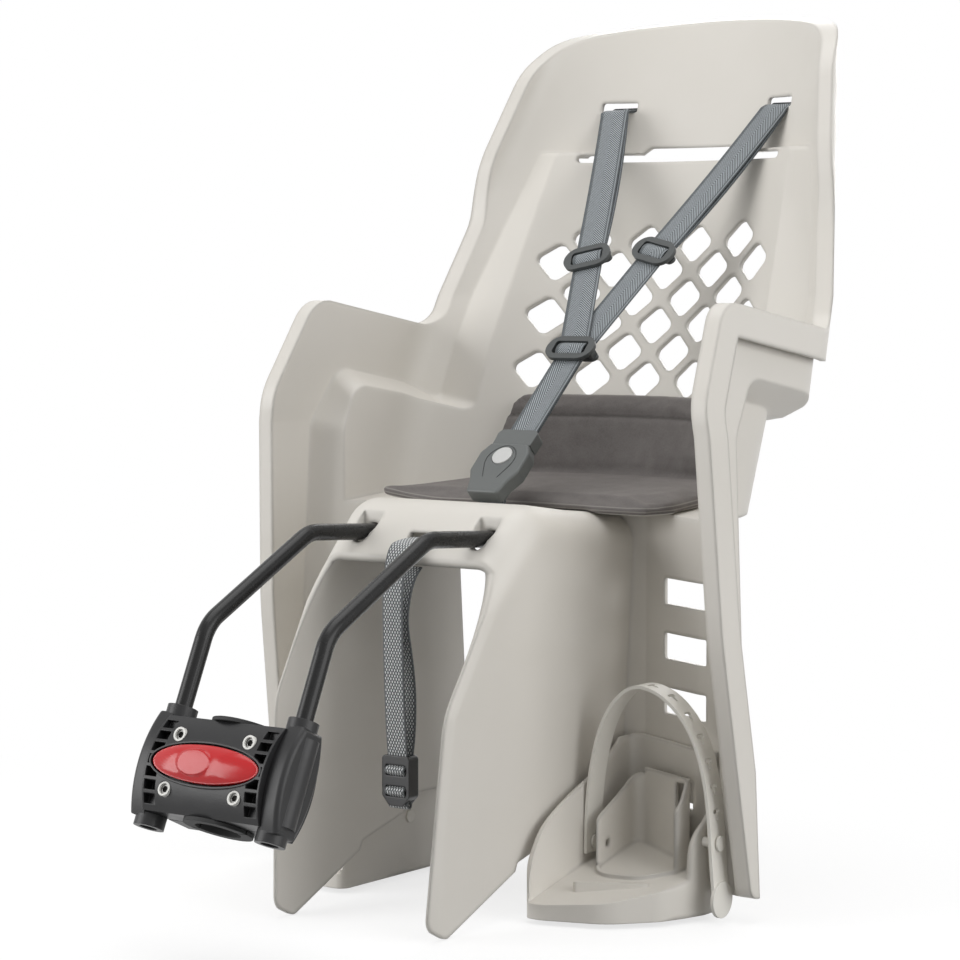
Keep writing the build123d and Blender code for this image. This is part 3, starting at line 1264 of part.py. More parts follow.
pieces = {
    "seat_shell": seat_shell,
    "seat_pad": seat_pad,
    "carrier_bar": carrier_bar,
    "carrier_plate": carrier_plate,
    "carrier_bolts": carrier_bolts,
    "block_front": block_front,
    "block_rear": block_rear,
    "block_cover_left": block_cover_left,
    "block_cover_right": block_cover_right,
    "block_bushings": block_bushings,
    "block_bolts": block_bolts,
    "block_nuts": block_nuts,
    "tube_pad_front": tube_pad_front,
    "tube_pad_rear": tube_pad_rear,
    "release_button": release_button,
    "shoulder_strap_left": shoulder_strap_left,
    "shoulder_strap_right": shoulder_strap_right,
    "strap_retainers": strap_retainers,
    "strap_slider_left": strap_slider_left,
    "strap_slider_right": strap_slider_right,
    "strap_slider_join": strap_slider_join,
    "harness_strap": harness_strap,
    "buckle_tongue": buckle_tongue,
    "buckle_body": buckle_body,
    "buckle_button": buckle_button,
    "crotch_strap": crotch_strap,
    "crotch_anchor": crotch_anchor,
    "safety_strap": safety_strap,
    "safety_buckle": safety_buckle,
    "footrest_left": footrest_left,
    "footrest_right": footrest_right,
    "foot_strap_left": foot_strap_left,
    "foot_strap_right": foot_strap_right,
    "foot_studs_left": foot_studs_left,
    "foot_studs_right": foot_studs_right,
}

for label, piece in pieces.items():
    piece.part.label = label
    export_step(piece.part, f"parts/{label}.step")
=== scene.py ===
"""Child bike seat on its seat-tube carrier, dressed for its picture.

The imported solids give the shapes. This script gives every solid its finish, with edges that are shaded as
rounded, replaces the soft pieces, which are the seat pad and the webbing, with sewn and woven ones, and puts
a crowned cap on the red release button.
Lengths are metres in the model's frame. seat() turns the seat's own coordinates, millimetres from the
rod sockets and the tips of the leg guards, into that frame.
"""

import json

import bpy
import numpy as np
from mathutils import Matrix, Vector


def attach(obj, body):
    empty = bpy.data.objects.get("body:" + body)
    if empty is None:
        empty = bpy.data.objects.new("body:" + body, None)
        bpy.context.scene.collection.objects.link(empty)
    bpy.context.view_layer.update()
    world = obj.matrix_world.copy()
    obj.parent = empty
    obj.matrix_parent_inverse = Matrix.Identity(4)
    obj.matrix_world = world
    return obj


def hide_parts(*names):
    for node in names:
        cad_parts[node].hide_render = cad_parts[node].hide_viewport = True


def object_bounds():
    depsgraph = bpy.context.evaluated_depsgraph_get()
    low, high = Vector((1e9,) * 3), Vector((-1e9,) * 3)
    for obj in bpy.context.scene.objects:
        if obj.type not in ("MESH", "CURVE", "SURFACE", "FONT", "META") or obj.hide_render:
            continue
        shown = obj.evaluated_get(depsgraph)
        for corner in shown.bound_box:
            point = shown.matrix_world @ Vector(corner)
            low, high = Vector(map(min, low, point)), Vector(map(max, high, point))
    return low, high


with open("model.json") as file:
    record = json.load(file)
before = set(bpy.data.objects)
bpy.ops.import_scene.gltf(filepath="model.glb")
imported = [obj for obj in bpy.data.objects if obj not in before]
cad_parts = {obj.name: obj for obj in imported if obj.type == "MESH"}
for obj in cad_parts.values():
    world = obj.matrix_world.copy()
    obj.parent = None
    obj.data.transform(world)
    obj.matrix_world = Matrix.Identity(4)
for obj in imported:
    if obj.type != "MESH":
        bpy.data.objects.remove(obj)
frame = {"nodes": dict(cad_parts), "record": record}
solids_box = [list(corner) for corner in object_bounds()]

# Offset from seat coordinates to the model's frame, in millimetres
SEAT_ORIGIN = np.array([0.0, 216.0, -124.0])

# The photo's camera: place, line of sight, and lens and sensor in millimetres
CAMERA_PLACE = (1.2712, -1.4716, 0.3319)
CAMERA_SIGHT = (-0.5864, 0.8071, -0.0690)
CAMERA_LENS = 111.0
CAMERA_SENSOR = 36.0

# Square lamps: name, place, target, size and watts
LAMPS = (
    ("top_lamp", (0.0, 0.2, 2.6), (0.0, 0.3, 0.2), 2.2, 34.0),
    ("high_right_lamp", (1.7, -0.6, 2.0), (0.0, 0.3, 0.2), 2.0, 7.0),
    ("right_lamp", (2.5, 0.2, 0.7), (0.0, 0.3, 0.1), 2.0, 38.0),
    ("left_lamp", (-1.7, -1.7, 0.7), (0.0, 0.3, 0.1), 1.8, 46.0),
    ("back_lamp", (-0.7, 2.6, 1.1), (0.0, 0.3, 0.1), 1.6, 26.0),
)
ROOM_STRENGTH = 0.2

# Floor: half its side, its gap below the seat, its own glow, and where its shadow starts and ends to fade
FLOOR_REACH = 30.0
FLOOR_GAP = 0.0005
FLOOR_GLOW = 0.72
SHADOW_FADE = (0.35, 0.9)

WELD_DISTANCE = 0.00001
WHITE = (1.0, 1.0, 1.0, 1.0)
SIDEWAYS = np.array([1.0, 0.0, 0.0])


def seat(points):
    """Seat coordinates in millimetres, moved to the model's frame in metres."""
    return (np.asarray(points, dtype=float) + SEAT_ORIGIN) / 1000


def in_seat(points):
    """Points of the model's frame in metres, as seat coordinates in millimetres."""
    return points * 1000 - SEAT_ORIGIN


def srgb(red, green, blue):
    """A colour given as 0 to 255 display values, as linear values with full alpha."""
    shown = np.array([red, green, blue]) / 255
    linear = np.where(shown <= 0.04045, shown / 12.92, ((shown + 0.055) / 1.055) ** 2.4)
    return (*linear.tolist(), 1.0)


def ramp(value, start, length):
    """Straight rise from 0 at a start to 1 at a length beyond it."""
    return np.clip((value - start) / length, 0, 1)


def eased(share):
    """Smooth step: a share from 0 to 1 that starts and ends without a slope."""
    return share**2 * (3 - 2 * share)


def bell(distance, width):
    """Bell curve of a distance: 1 on the line and near 0 at twice the width."""
    return np.exp(-((distance / width) ** 2))


def unit(vectors):
    """Vectors scaled to length one."""
    return vectors / np.linalg.norm(vectors, axis=-1, keepdims=True)


def new_object(name, data):
    """A new object in the scene that holds a mesh, a lamp or the camera."""
    made = bpy.data.objects.new(name, data)
    bpy.context.scene.collection.objects.link(made)
    return made


def shade_smooth(mesh):
    """Smooth shading on every face of a mesh."""
    mesh.polygons.foreach_set("use_smooth", np.ones(len(mesh.polygons), dtype=bool))
    mesh.update()


def wrapped_faces(rows, columns):
    """Four-sided faces between the rows of a grid whose last column joins its first."""
    row, column = np.meshgrid(np.arange(rows - 1), np.arange(columns), indexing="ij")
    beside = (column + 1) % columns
    here = row * columns
    after = here + columns
    corners = [here + column, here + beside, after + beside, after + column]
    return np.stack(corners, axis=-1).reshape(-1, 4)


class Finish:
    """A procedural material on the principled shader, built up from small node groups."""

    def __init__(self, name, colour, roughness, metallic=0.0, **sockets):
        self.material = bpy.data.materials.new(name)
        self.material.use_nodes = True
        self.tree = self.material.node_tree
        self.shader = self.tree.nodes["Principled BSDF"]
        self.shader.inputs["Base Color"].default_value = colour
        self.shader.inputs["Roughness"].default_value = roughness
        self.shader.inputs["Metallic"].default_value = metallic
        for socket, value in sockets.items():
            self.shader.inputs[socket.replace("_", " ")].default_value = value
        self.bump_end = None

    def node(self, kind, **settings):
        made = self.tree.nodes.new(kind)
        for key, value in settings.items():
            setattr(made, key, value)
        return made

    def join(self, source, target):
        self.tree.links.new(source, target)

    def place(self, kind="Object"):
        return self.node("ShaderNodeTexCoord").outputs[kind]

    def axes(self, kind="Object"):
        """The parts of a coordinate, as outputs."""
        parts = self.node("ShaderNodeSeparateXYZ")
        self.join(self.place(kind), parts.inputs[0])
        return parts.outputs

    def attribute(self, name):
        return self.node("ShaderNodeAttribute", attribute_name=name).outputs["Fac"]

    def maths(self, operation, *values):
        made = self.node("ShaderNodeMath", operation=operation)
        for socket, value in zip(made.inputs, values):
            if isinstance(value, (int, float)):
                socket.default_value = value
            else:
                self.join(value, socket)
        return made.outputs[0]

    def wave(self, value, turn):
        """Sine of a value, with a turn in radians for each unit of it."""
        return self.maths("SINE", self.maths("MULTIPLY", value, turn))

    def away(self, value, middle):
        """Distance of a value from a middle."""
        return self.maths("ABSOLUTE", self.maths("SUBTRACT", value, middle))

    def noise(self, scale, detail=2.0, roughness=0.5):
        made = self.node("ShaderNodeTexNoise")
        made.inputs["Scale"].default_value = scale
        made.inputs["Detail"].default_value = detail
        made.inputs["Roughness"].default_value = roughness
        self.join(self.place(), made.inputs["Vector"])
        return made.outputs["Fac"]

    def span(self, value, low, high, to_low=0.0, to_high=1.0, smooth=False):
        """Value that goes from to_low to to_high as another goes from low to high."""
        made = self.node("ShaderNodeMapRange")
        made.interpolation_type = "SMOOTHSTEP" if smooth else "LINEAR"
        made.inputs["From Min"].default_value = low
        made.inputs["From Max"].default_value = high
        made.inputs["To Min"].default_value = to_low
        made.inputs["To Max"].default_value = to_high
        self.join(value, made.inputs["Value"])
        return made.outputs["Result"]

    def blend_colour(self, share, first, second):
        """Colour that goes from first to second as share goes from 0 to 1."""
        made = self.node("ShaderNodeMix", data_type="RGBA")
        self.join(share, made.inputs["Factor"])
        for socket, value in ((made.inputs[6], first), (made.inputs[7], second)):
            if isinstance(value, tuple):
                socket.default_value = value
            else:
                self.join(value, socket)
        return made.outputs[2]

    def colour(self, output):
        self.join(output, self.shader.inputs["Base Color"])

    def clouds(self, first, second, scale, detail, low=0.3, high=0.7):
        """Colours the surface with noise that goes from the first colour to the second."""
        share = self.span(self.noise(scale, detail), low, high)
        self.colour(self.blend_colour(share, first, second))

    def worn(self, smoothest, roughest, scale, detail):
        """Roughness that changes with noise."""
        spread = self.span(self.noise(scale, detail), 0.3, 0.7, smoothest, roughest)
        self.join(spread, self.shader.inputs["Roughness"])

    def soft_edges(self, radius, front=None):
        """Shades every edge as if it were rounded to a radius in metres, or to another one at the front.

        front holds the radius at the front, and the y where it starts and ends to change into the other.
        """
        made = self.node("ShaderNodeBevel", samples=6)
        made.inputs["Radius"].default_value = radius
        if front is not None:
            front_radius, start, end = front
            changing = self.span(self.axes()[1], start, end, front_radius, radius)
            self.join(changing, made.inputs["Radius"])
        self.bump_end = made.outputs["Normal"]

    def bump(self, height, distance, strength=1.0):
        """Adds a relief of the given depth in metres on top of the ones before."""
        made = self.node("ShaderNodeBump")
        made.inputs["Strength"].default_value = strength
        made.inputs["Distance"].default_value = distance
        self.join(height, made.inputs["Height"])
        if self.bump_end is not None:
            self.join(self.bump_end, made.inputs["Normal"])
        self.bump_end = made.outputs["Normal"]
        self.join(self.bump_end, self.shader.inputs["Normal"])


def moulded(name, colour, shade, roughness, edge=0.0008, grain=1800.0, depth=0.00004, front=None, **sockets):
    """Moulded plastic: a fine spark-eroded grain, faint flow clouds in colour and gloss, and soft edges."""
    made = Finish(name, colour, roughness, **sockets)
    made.soft_edges(edge, front)
    made.clouds(colour, shade, scale=9.0, detail=3.0, high=0.75)
    made.worn(roughness - 0.05, roughness + 0.06, scale=45.0, detail=4.0)
    made.bump(made.noise(grain), depth)
    return made.material


def woven(name, dark, mid, light):
    """Harness webbing: a band of herringbone twill between plain ribbed edges, on the strap's own map, with
    a painted highlight: a pale line along the edge at the +X side.

    The distance from the strap's middle line adds to the distance along it, so that the sine of the sum
    gives slanted threads which meet in chevrons on that line.
    """
    slant = 32.0  # millimetres along the strap for one strap width across
    thread_turn = 2.75  # radians for each millimetre along
    rib_turn = 165.0  # radians for the strap's width
    pick_turn = 5200.0  # radians for each metre along
    made = Finish(name, mid, 0.66, Sheen_Weight=0.08, Sheen_Roughness=0.5)
    over, along = made.axes("UV")[:2]
    from_middle = made.away(over, 0.5)
    phase = made.maths("MULTIPLY_ADD", along, 1000.0, made.maths("MULTIPLY", from_middle, slant))
    thread = made.span(made.wave(phase, thread_turn), -0.1, 0.6)
    band = made.span(from_middle, 0.35, 0.41, 0.95, 0.12, smooth=True)
    # Painted highlight: a pale line along the strap's edge at the +X side
    painted_edge_highlight = made.span(made.away(over, 0.95), 0.0, 0.03, 0.6, 0.0)
    share = made.maths("ADD", made.maths("MULTIPLY", thread, band), painted_edge_highlight)
    base = made.blend_colour(made.span(made.noise(scale=240.0, detail=3.0), 0.3, 0.7), dark, mid)
    made.colour(made.blend_colour(made.maths("MINIMUM", share, 1.0), base, light))
    ribs = made.maths("MULTIPLY", made.wave(over, rib_turn), 0.25)
    made.bump(made.maths("ADD", thread, ribs), 0.00012)
    made.bump(made.wave(along, pick_turn), 0.00005)
    return made.material


def basket(name, dark, light):
    """Safety webbing: a basket weave whose raised picks show as rows of pale dots."""
    column_turn = 47.0  # radians for the strap's width
    row_turn = 1500.0  # radians for each metre along
    made = Finish(name, dark, 0.6, Sheen_Weight=0.2)
    over, along = made.axes("UV")[:2]
    weave = made.maths("MULTIPLY", made.wave(over, column_turn), made.wave(along, row_turn))
    dots = made.span(weave, 0.05, 0.5, smooth=True)
    inside = made.span(made.away(over, 0.5), 0.40, 0.44, 1.0, 0.1, smooth=True)
    made.colour(made.blend_colour(made.maths("MULTIPLY", dots, inside), dark, light))
    made.bump(weave, 0.0002)
    return made.material


def felt(name, dark, light, edge, foam, painted_seam_shade):
    """Pad fabric: brushed felt with short mottled fibres, a striped edge, and pale foam underneath.

    The attribute named layer runs from 0 on the underside to 1 on the top, and its stripes give the edge.
    The attribute named seam is 1 on the sewn line, where the top is darkened with painted shade, as in the
    seam's crease.
    """
    stripe_turn = 21.0  # radians from the underside to the top
    made = Finish(name, dark, 0.95, Sheen_Weight=0.3, Sheen_Roughness=0.6, Sheen_Tint=srgb(150, 143, 138))
    fibres = made.noise(scale=900.0, detail=4.0, roughness=0.65)
    mottle = made.noise(scale=70.0, detail=4.0, roughness=0.6)
    share = made.maths("MULTIPLY_ADD", mottle, 0.5, made.maths("MULTIPLY", fibres, 0.5))
    body = made.blend_colour(made.span(share, 0.35, 0.68), dark, light)
    layer = made.attribute("layer")
    stripe = made.span(made.wave(layer, stripe_turn), 0.2, 0.7)
    rim = made.span(layer, 0.66, 0.8, 1.0, 0.0)
    top = made.blend_colour(made.maths("MULTIPLY", stripe, rim), body, edge)
    # Painted shade: the sewn line darkened as if shaded in its crease
    top = made.blend_colour(made.span(made.attribute("seam"), 0.45, 0.95, 0.0, 0.5), top, painted_seam_shade)
    made.colour(made.blend_colour(made.span(layer, 0.12, 0.2, 1.0, 0.0), top, foam))
    made.bump(fibres, 0.00025)
    made.bump(mottle, 0.0008, 0.6)
    return made.material


def painted_steel(name, colour, shade, roughness):
    """Powder-coated rod: a faint orange peel under a satin coat."""
    made = Finish(name, colour, roughness, Specular_IOR_Level=0.26)
    made.clouds(colour, shade, scale=30.0, detail=3.0)
    made.worn(roughness - 0.02, roughness + 0.03, scale=160.0, detail=3.0)
    made.bump(made.noise(scale=700.0), 0.00001)
    return made.material


def plated(name, colour, shade):
    """Zinc-plated steel with fine turning marks and dull spots."""
    made = Finish(name, colour, 0.35, metallic=1.0)
    made.clouds(colour, shade, scale=260.0, detail=4.0)
    made.worn(0.26, 0.48, scale=500.0, detail=3.0)
    made.bump(made.noise(scale=2500.0, detail=1.0), 0.00003)
    return made.material


PALE_PLASTIC = (srgb(216, 212, 205), srgb(212, 208, 200), 0.42)

finishes = {
    "shell": moulded("moulded_shell", *PALE_PLASTIC, edge=0.005),
    "footrest": moulded("moulded_footrest", *PALE_PLASTIC, edge=0.006, front=(0.0014, 0.262, 0.274)),
    # Painted light: the foot strap's plastic is lighter than the shell's, to brighten it where the lamps
    # leave it shaded
    "foot_strap": moulded("moulded_foot_strap_painted_lighter", srgb(230, 227, 220), srgb(224, 221, 213), 0.5),
    "pad": felt("felt_pad", dark=srgb(95, 91, 89), light=srgb(113, 109, 107), edge=srgb(136, 132, 128),
                foam=srgb(206, 204, 200), painted_seam_shade=srgb(50, 47, 46)),
    "bar": painted_steel("black_rod", srgb(22, 22, 22), srgb(26, 26, 26), 0.26),
    "fastener": plated("zinc_fastener", srgb(120, 120, 118), srgb(96, 96, 94)),
    "block": moulded("black_block", srgb(30, 30, 31), srgb(37, 37, 38), 0.38, grain=900.0, depth=0.00005,
                     Specular_IOR_Level=0.34),
    "bushing": moulded("white_bushing", srgb(226, 225, 220), srgb(214, 213, 208), 0.4),
    "tube_pad": moulded("rubber_liner", srgb(30, 30, 31), srgb(38, 38, 38), 0.75, edge=0.0006, grain=700.0,
                        depth=0.00008),
    "release": moulded("red_release", srgb(196, 24, 30), srgb(186, 18, 24), 0.16, edge=0.001, grain=300.0,
                       depth=0.00001, Specular_IOR_Level=0.42),
    "webbing": woven("herringbone_webbing", srgb(58, 63, 66), srgb(76, 82, 85), srgb(172, 178, 182)),
    "safety_webbing": basket("basket_webbing", srgb(76, 80, 82), srgb(224, 226, 226)),
    "hardware": moulded("dark_slider", srgb(58, 61, 61), srgb(66, 69, 69), 0.38, grain=900.0),
    "ladder_buckle": moulded("black_ladder_buckle", srgb(36, 36, 37), srgb(42, 42, 43), 0.36, edge=0.0012,
                             grain=900.0),
    "buckle": moulded("grey_buckle", srgb(84, 87, 86), srgb(92, 95, 94), 0.44, edge=0.001, grain=1100.0,
                      depth=0.00006),
    "push_button": moulded("pale_push_button", srgb(200, 200, 198), srgb(190, 190, 188), 0.35),
}

# Nodes with a finish of their own, apart from their slot's
OWN_FINISH = {"footrest_left": "footrest", "footrest_right": "footrest", "safety_buckle": "ladder_buckle"}


def dress(node, finish):
    """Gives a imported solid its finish."""
    for holder in frame["nodes"][node].material_slots:
        holder.material = finishes[finish]


for part in frame["record"]["subparts"]:
    dress(part["node"], OWN_FINISH.get(part["node"], part["material_slot"]))

# Cap of the release button on the block's leaning front, in millimetres
BLOCK_LEAN = np.radians(25)
BLOCK_FRONT = 33.0
FALL_SIDEWAYS, FALL_SIDEWAYS_AT = 3.0, 49.2
FALL_UPWARDS, FALL_UPWARDS_AT = 2.6, 20.0
CAP_RINGS, CAP_COLUMNS = 40, 96
CAP_HALF_WIDTH, CAP_HALF_HEIGHT = 44.6, 12.5
CAP_CROWN, CAP_POWER = 3.8, 0.8
CAP_SUNK = 0.2
DISC_X, DISC_PROUD = -6.0, 3.6
DISC_HALF_WIDTH, DISC_HALF_HEIGHT = 14.0, 9.0
HOLLOW_DEPTH = 0.35

# Distances from the disc's middle, as shares of its radius
DISC_EDGE, DISC_BLEND = 1.06, 0.08
HOLLOW_AT, HOLLOW_WIDTH = 1.15, 0.3


def release_cap():
    """Crowned face of the red button, on an oval grid of rings round its middle.

    The crown falls from the middle to the rim with a power of one less the ring's radius squared. Round a
    flat raised disc, left of the middle, a bell curve of the distance to the disc's edge makes a hollow.
    The face follows the block's front, which falls back with the square of the distance from its middle.
    """
    rings = np.linspace(0.0, 1.0, CAP_RINGS)
    turns = np.linspace(0, 2 * np.pi, CAP_COLUMNS + 1)[:-1]
    ring, turn = np.meshgrid(rings, turns, indexing="ij")
    x = CAP_HALF_WIDTH * ring * np.cos(turn)
    up = CAP_HALF_HEIGHT * ring * np.sin(turn)
    from_disc = np.hypot((x - DISC_X) / DISC_HALF_WIDTH, up / DISC_HALF_HEIGHT)
    hollow = HOLLOW_DEPTH * bell(from_disc - HOLLOW_AT, HOLLOW_WIDTH) * (1 - ring**4)
    disc = eased(1 - ramp(from_disc, DISC_EDGE - DISC_BLEND, DISC_BLEND))
    crown = CAP_CROWN * (1 - ring**2) ** CAP_POWER
    proud = (crown - hollow) * (1 - disc) + DISC_PROUD * disc - CAP_SUNK
    fall_upwards = FALL_UPWARDS * (up / FALL_UPWARDS_AT) ** 2
    fall_sideways = FALL_SIDEWAYS * (x / FALL_SIDEWAYS_AT) ** 2
    depth = np.maximum(fall_upwards, fall_sideways) - BLOCK_FRONT - proud
    y = depth * np.cos(BLOCK_LEAN) + up * np.sin(BLOCK_LEAN)
    z = -depth * np.sin(BLOCK_LEAN) + up * np.cos(BLOCK_LEAN)
    points = np.stack([x, y, z], axis=-1) / 1000
    faces = wrapped_faces(*ring.shape)[:, [0, 3, 2, 1]]
    mesh = bpy.data.meshes.new("release_cap")
    mesh.from_pydata(points.reshape(-1, 3).tolist(), [], faces.tolist())
    mesh.materials.append(finishes["release"])
    shade_smooth(mesh)
    piece = new_object("release_cap", mesh)
    weld = piece.modifiers.new("weld", "WELD")
    weld.merge_threshold = WELD_DISTANCE
    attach(piece, "release_button")


release_cap()


def rounded(points, turns=4):
    """A smooth line along corner points: every corner is cut at a quarter of its runs, turns times over."""
    line = np.asarray(points, dtype=float)
    for _ in range(turns):
        near = 0.75 * line[:-1] + 0.25 * line[1:]
        far = 0.25 * line[:-1] + 0.75 * line[1:]
        inner = np.stack([near, far], axis=1).reshape(-1, line.shape[1])
        line = np.concatenate([line[:1], inner, line[-1:]])
    return line


# Straps' profile: its points, and the powers that press its width and its thickness towards square corners
PROFILE_POINTS = 28
WIDTH_POWER, THICKNESS_POWER = 0.55, 0.35

# Widths and thicknesses of webbing. Layers behind others and loops in sliders are a little smaller
STRAP_WIDTH, STRAP_THICKNESS = 0.025, 0.0016
INNER_WIDTH, INNER_THICKNESS = 0.0246, 0.0014
LOOP_WIDTH = 0.0244
SAFETY_WIDTH, SAFETY_LOOP_WIDTH = 0.018, 0.0172


def ribbon(name, line, over, width, thickness):
    """A strap: a flat profile with rounded edges carried along a line.

    The profile is an ellipse whose sine and cosine are pressed towards square corners. over gives the
    strap's width direction at each point of the line. The map runs from 0 to 1 across the strap and in
    metres along it.
    """
    run = np.gradient(line, axis=0)
    over = unit(over - run * (over * run).sum(1, keepdims=True) / (run * run).sum(1, keepdims=True))
    lift = unit(np.cross(over, run))
    angle = np.linspace(0, 2 * np.pi, PROFILE_POINTS + 1)[:-1]
    reach = np.sign(np.cos(angle)) * np.abs(np.cos(angle)) ** WIDTH_POWER
    depth = np.sign(np.sin(angle)) * np.abs(np.sin(angle)) ** THICKNESS_POWER
    across = over[:, None] * (reach * width / 2)[None, :, None]
    outward = lift[:, None] * (depth * thickness / 2)[None, :, None]
    points = line[:, None] + across + outward
    rows, columns = points.shape[:2]
    ends = [list(range(columns))[::-1], list(range((rows - 1) * columns, rows * columns))]
    mesh = bpy.data.meshes.new(name)
    mesh.from_pydata(points.reshape(-1, 3).tolist(), [], wrapped_faces(rows, columns).tolist() + ends)
    step = np.linalg.norm(np.diff(line, axis=0), axis=1)
    along = np.concatenate([[0.0], np.cumsum(step)])
    corner = np.empty(len(mesh.loops), dtype=np.int32)
    mesh.loops.foreach_get("vertex_index", corner)
    spot = np.stack([reach[corner % columns] / 2 + 0.5, along[corner // columns]], axis=1)
    mesh.uv_layers.new(name="strap").data.foreach_set("uv", spot.astype(np.float32).ravel())
    shade_smooth(mesh)
    return new_object(name, mesh)


def strap(name, slot, line, over, width=STRAP_WIDTH, thickness=STRAP_THICKNESS, stands_for=()):
    """A ribbon of webbing that rides on the seat."""
    piece = ribbon(name, line, over, width, thickness)
    piece.data.materials.append(finishes[slot])
    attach(piece, "seat")
    if stands_for:
        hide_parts(*stands_for)


def leaning(lean):
    """The two directions of a plane that leans back by an angle: up along it, and out of its front."""
    return np.array([0.0, np.sin(lean), np.cos(lean)]), np.array([0.0, -np.cos(lean), np.sin(lean)])


# Plane of the shoulder straps: from the join up to the slots, leaning back
SLOT_X, SLOT_Y, SLOT_Z = 76.0, 356.0, 590.7
JOIN_Y, JOIN_Z = 183.0, 397.0
STRAP_RUN = float(np.hypot(SLOT_Y - JOIN_Y, SLOT_Z - JOIN_Z))
STRAP_LEAN = float(np.arctan2(SLOT_Y - JOIN_Y, SLOT_Z - JOIN_Z))
BAND_ANGLE = float(np.arctan2(SLOT_X, STRAP_RUN))
STRAP_STEPS = 90
plane_up, plane_out = leaning(STRAP_LEAN)

# Shoulder straps: side, run from the join to the slider, and how far the strap lies in front of the plane
SHOULDERS = ((-1, 94.4, 1.0), (1, 102.3, -1.0))
SIDE_NAMES = {-1: "left", 1: "right"}

# Where a shoulder strap stops short of its slot, the steps of its way over the sill, and its two layers
SLOT_GAP = 3.0
SILL_STEPS = np.array([3.5, 10.0, 20.0, 30.0])
SILL_DIP, SILL_DIP_END = 0.3, 5.0
FIRST_LAYER_BACK = 1.6
SECOND_LAYER_ASIDE, SECOND_LAYER_BACK = 1.8, 2.4


def on_harness(x, run, off):
    """Points of the shoulder straps' plane at x, a run up from the join and off in front of it."""
    x, run, off = (np.asarray(value, dtype=float) for value in np.broadcast_arrays(x, run, off))
    y = JOIN_Y + run * np.sin(STRAP_LEAN) - off * np.cos(STRAP_LEAN)
    z = JOIN_Z + run * np.cos(STRAP_LEAN) + off * np.sin(STRAP_LEAN)
    return np.stack([x, y, z], axis=-1)


def shoulder_strap(side, slider_run, layer):
    """A shoulder strap from the join to its slot: straight in the harness plane, then over the slot's sill.

    Its width lies square to its run at the join and turns level where it goes through the slot. Above the
    slider a second layer lies behind it, a little to the right, and both go through the slot together. A
    half wave of the height above the slider parts the two layers.
    """
    end = SIDE_NAMES[side]
    up = np.linspace(0, 1, STRAP_STEPS) * (STRAP_RUN - SLOT_GAP)
    above = ramp(up, slider_run, STRAP_RUN - slider_run)
    parted = np.sin(np.pi * above)
    band = on_harness(side * SLOT_X * up / STRAP_RUN, up, layer - FIRST_LAYER_BACK * parted)
    sill_x = np.full(len(SILL_STEPS), side * SLOT_X)
    sill_z = SLOT_Z - SILL_DIP * (SILL_STEPS < SILL_DIP_END)
    sill = np.stack([sill_x, SLOT_Y + SILL_STEPS, sill_z], axis=1)
    line = np.concatenate([band, sill])
    square = SIDEWAYS * np.cos(BAND_ANGLE) - plane_up * side * np.sin(BAND_ANGLE)
    half = STRAP_STEPS // 2
    turned = eased(ramp(np.arange(len(line)), half, half))[:, None]
    over = unit(square * (1 - turned) + SIDEWAYS * turned)
    strap(f"shoulder_webbing_{end}", "webbing", seat(line), over, stands_for=(f"shoulder_strap_{end}",))
    apart = (parted**0.5)[:, None]
    band_over = over[:STRAP_STEPS]
    second = band + band_over * SECOND_LAYER_ASIDE * apart - plane_out * SECOND_LAYER_BACK * apart
    paired = above > 0
    strap(f"second_layer_{end}", "webbing", seat(second[paired]), band_over[paired],
          width=INNER_WIDTH, thickness=INNER_THICKNESS)


for shoulder in SHOULDERS:
    shoulder_strap(*shoulder)


# Bow of a loop in a slider's window: places along the strap, and how far it stands proud there
BOW_ALONG = np.array([-9.5, -7.0, -5.0, 0.0, 5.0, 7.0, 9.5])
BOW_PROUD = np.array([-1.2, -0.6, 1.6, 3.2, 1.6, -0.6, -1.2])


def slider_loop(name, centre, up, out, frame_under, slot="webbing", width=LOOP_WIDTH, stretch=1.0):
    """Webbing that shows in a slider's window: a short bow over the slider's middle bar.

    Along the strap it rises from under the frame, crosses the window just proud of it and dips again.
    """
    bow = rounded(np.stack([BOW_ALONG * stretch, BOW_PROUD + frame_under], axis=1), turns=3)
    line = seat(centre + bow[:, :1] * up + bow[:, 1:] * out)
    over = np.tile(np.cross(up, out), (len(line), 1))
    strap(name, slot, line, over, width=width, thickness=INNER_THICKNESS)


for side, run, layer in SHOULDERS:
    up = SIDEWAYS * side * np.sin(BAND_ANGLE) + plane_up * np.cos(BAND_ANGLE)
    place = on_harness(side * run * np.tan(BAND_ANGLE), run, layer)
    slider_loop(f"slider_loop_{SIDE_NAMES[side]}", place, up, plane_out, frame_under=1.1)


def level_strap(name, slot, line, **settings):
    """A strap in the seat's middle plane, whose width lies level, along a line in seat coordinates."""
    strap(name, slot, seat(line), np.tile(SIDEWAYS, (len(line), 1)), **settings)


# Buckle: its foot, its lean, and the mouth of its tongue up along it and out of its front
BUCKLE_FOOT = np.array([0.0, 71.0, 289.0])
BUCKLE_LEAN = np.radians(47.5)
TONGUE_UP, TONGUE_OUT = 66.0, 5.0

# Joined strap: where it starts below the join, how far it goes into the tongue, and its layers' offsets
JOINED_START, JOINED_INSIDE = 6.0, 7.0
JOINED_FRONT, JOINED_BACK = 0.85, 0.8


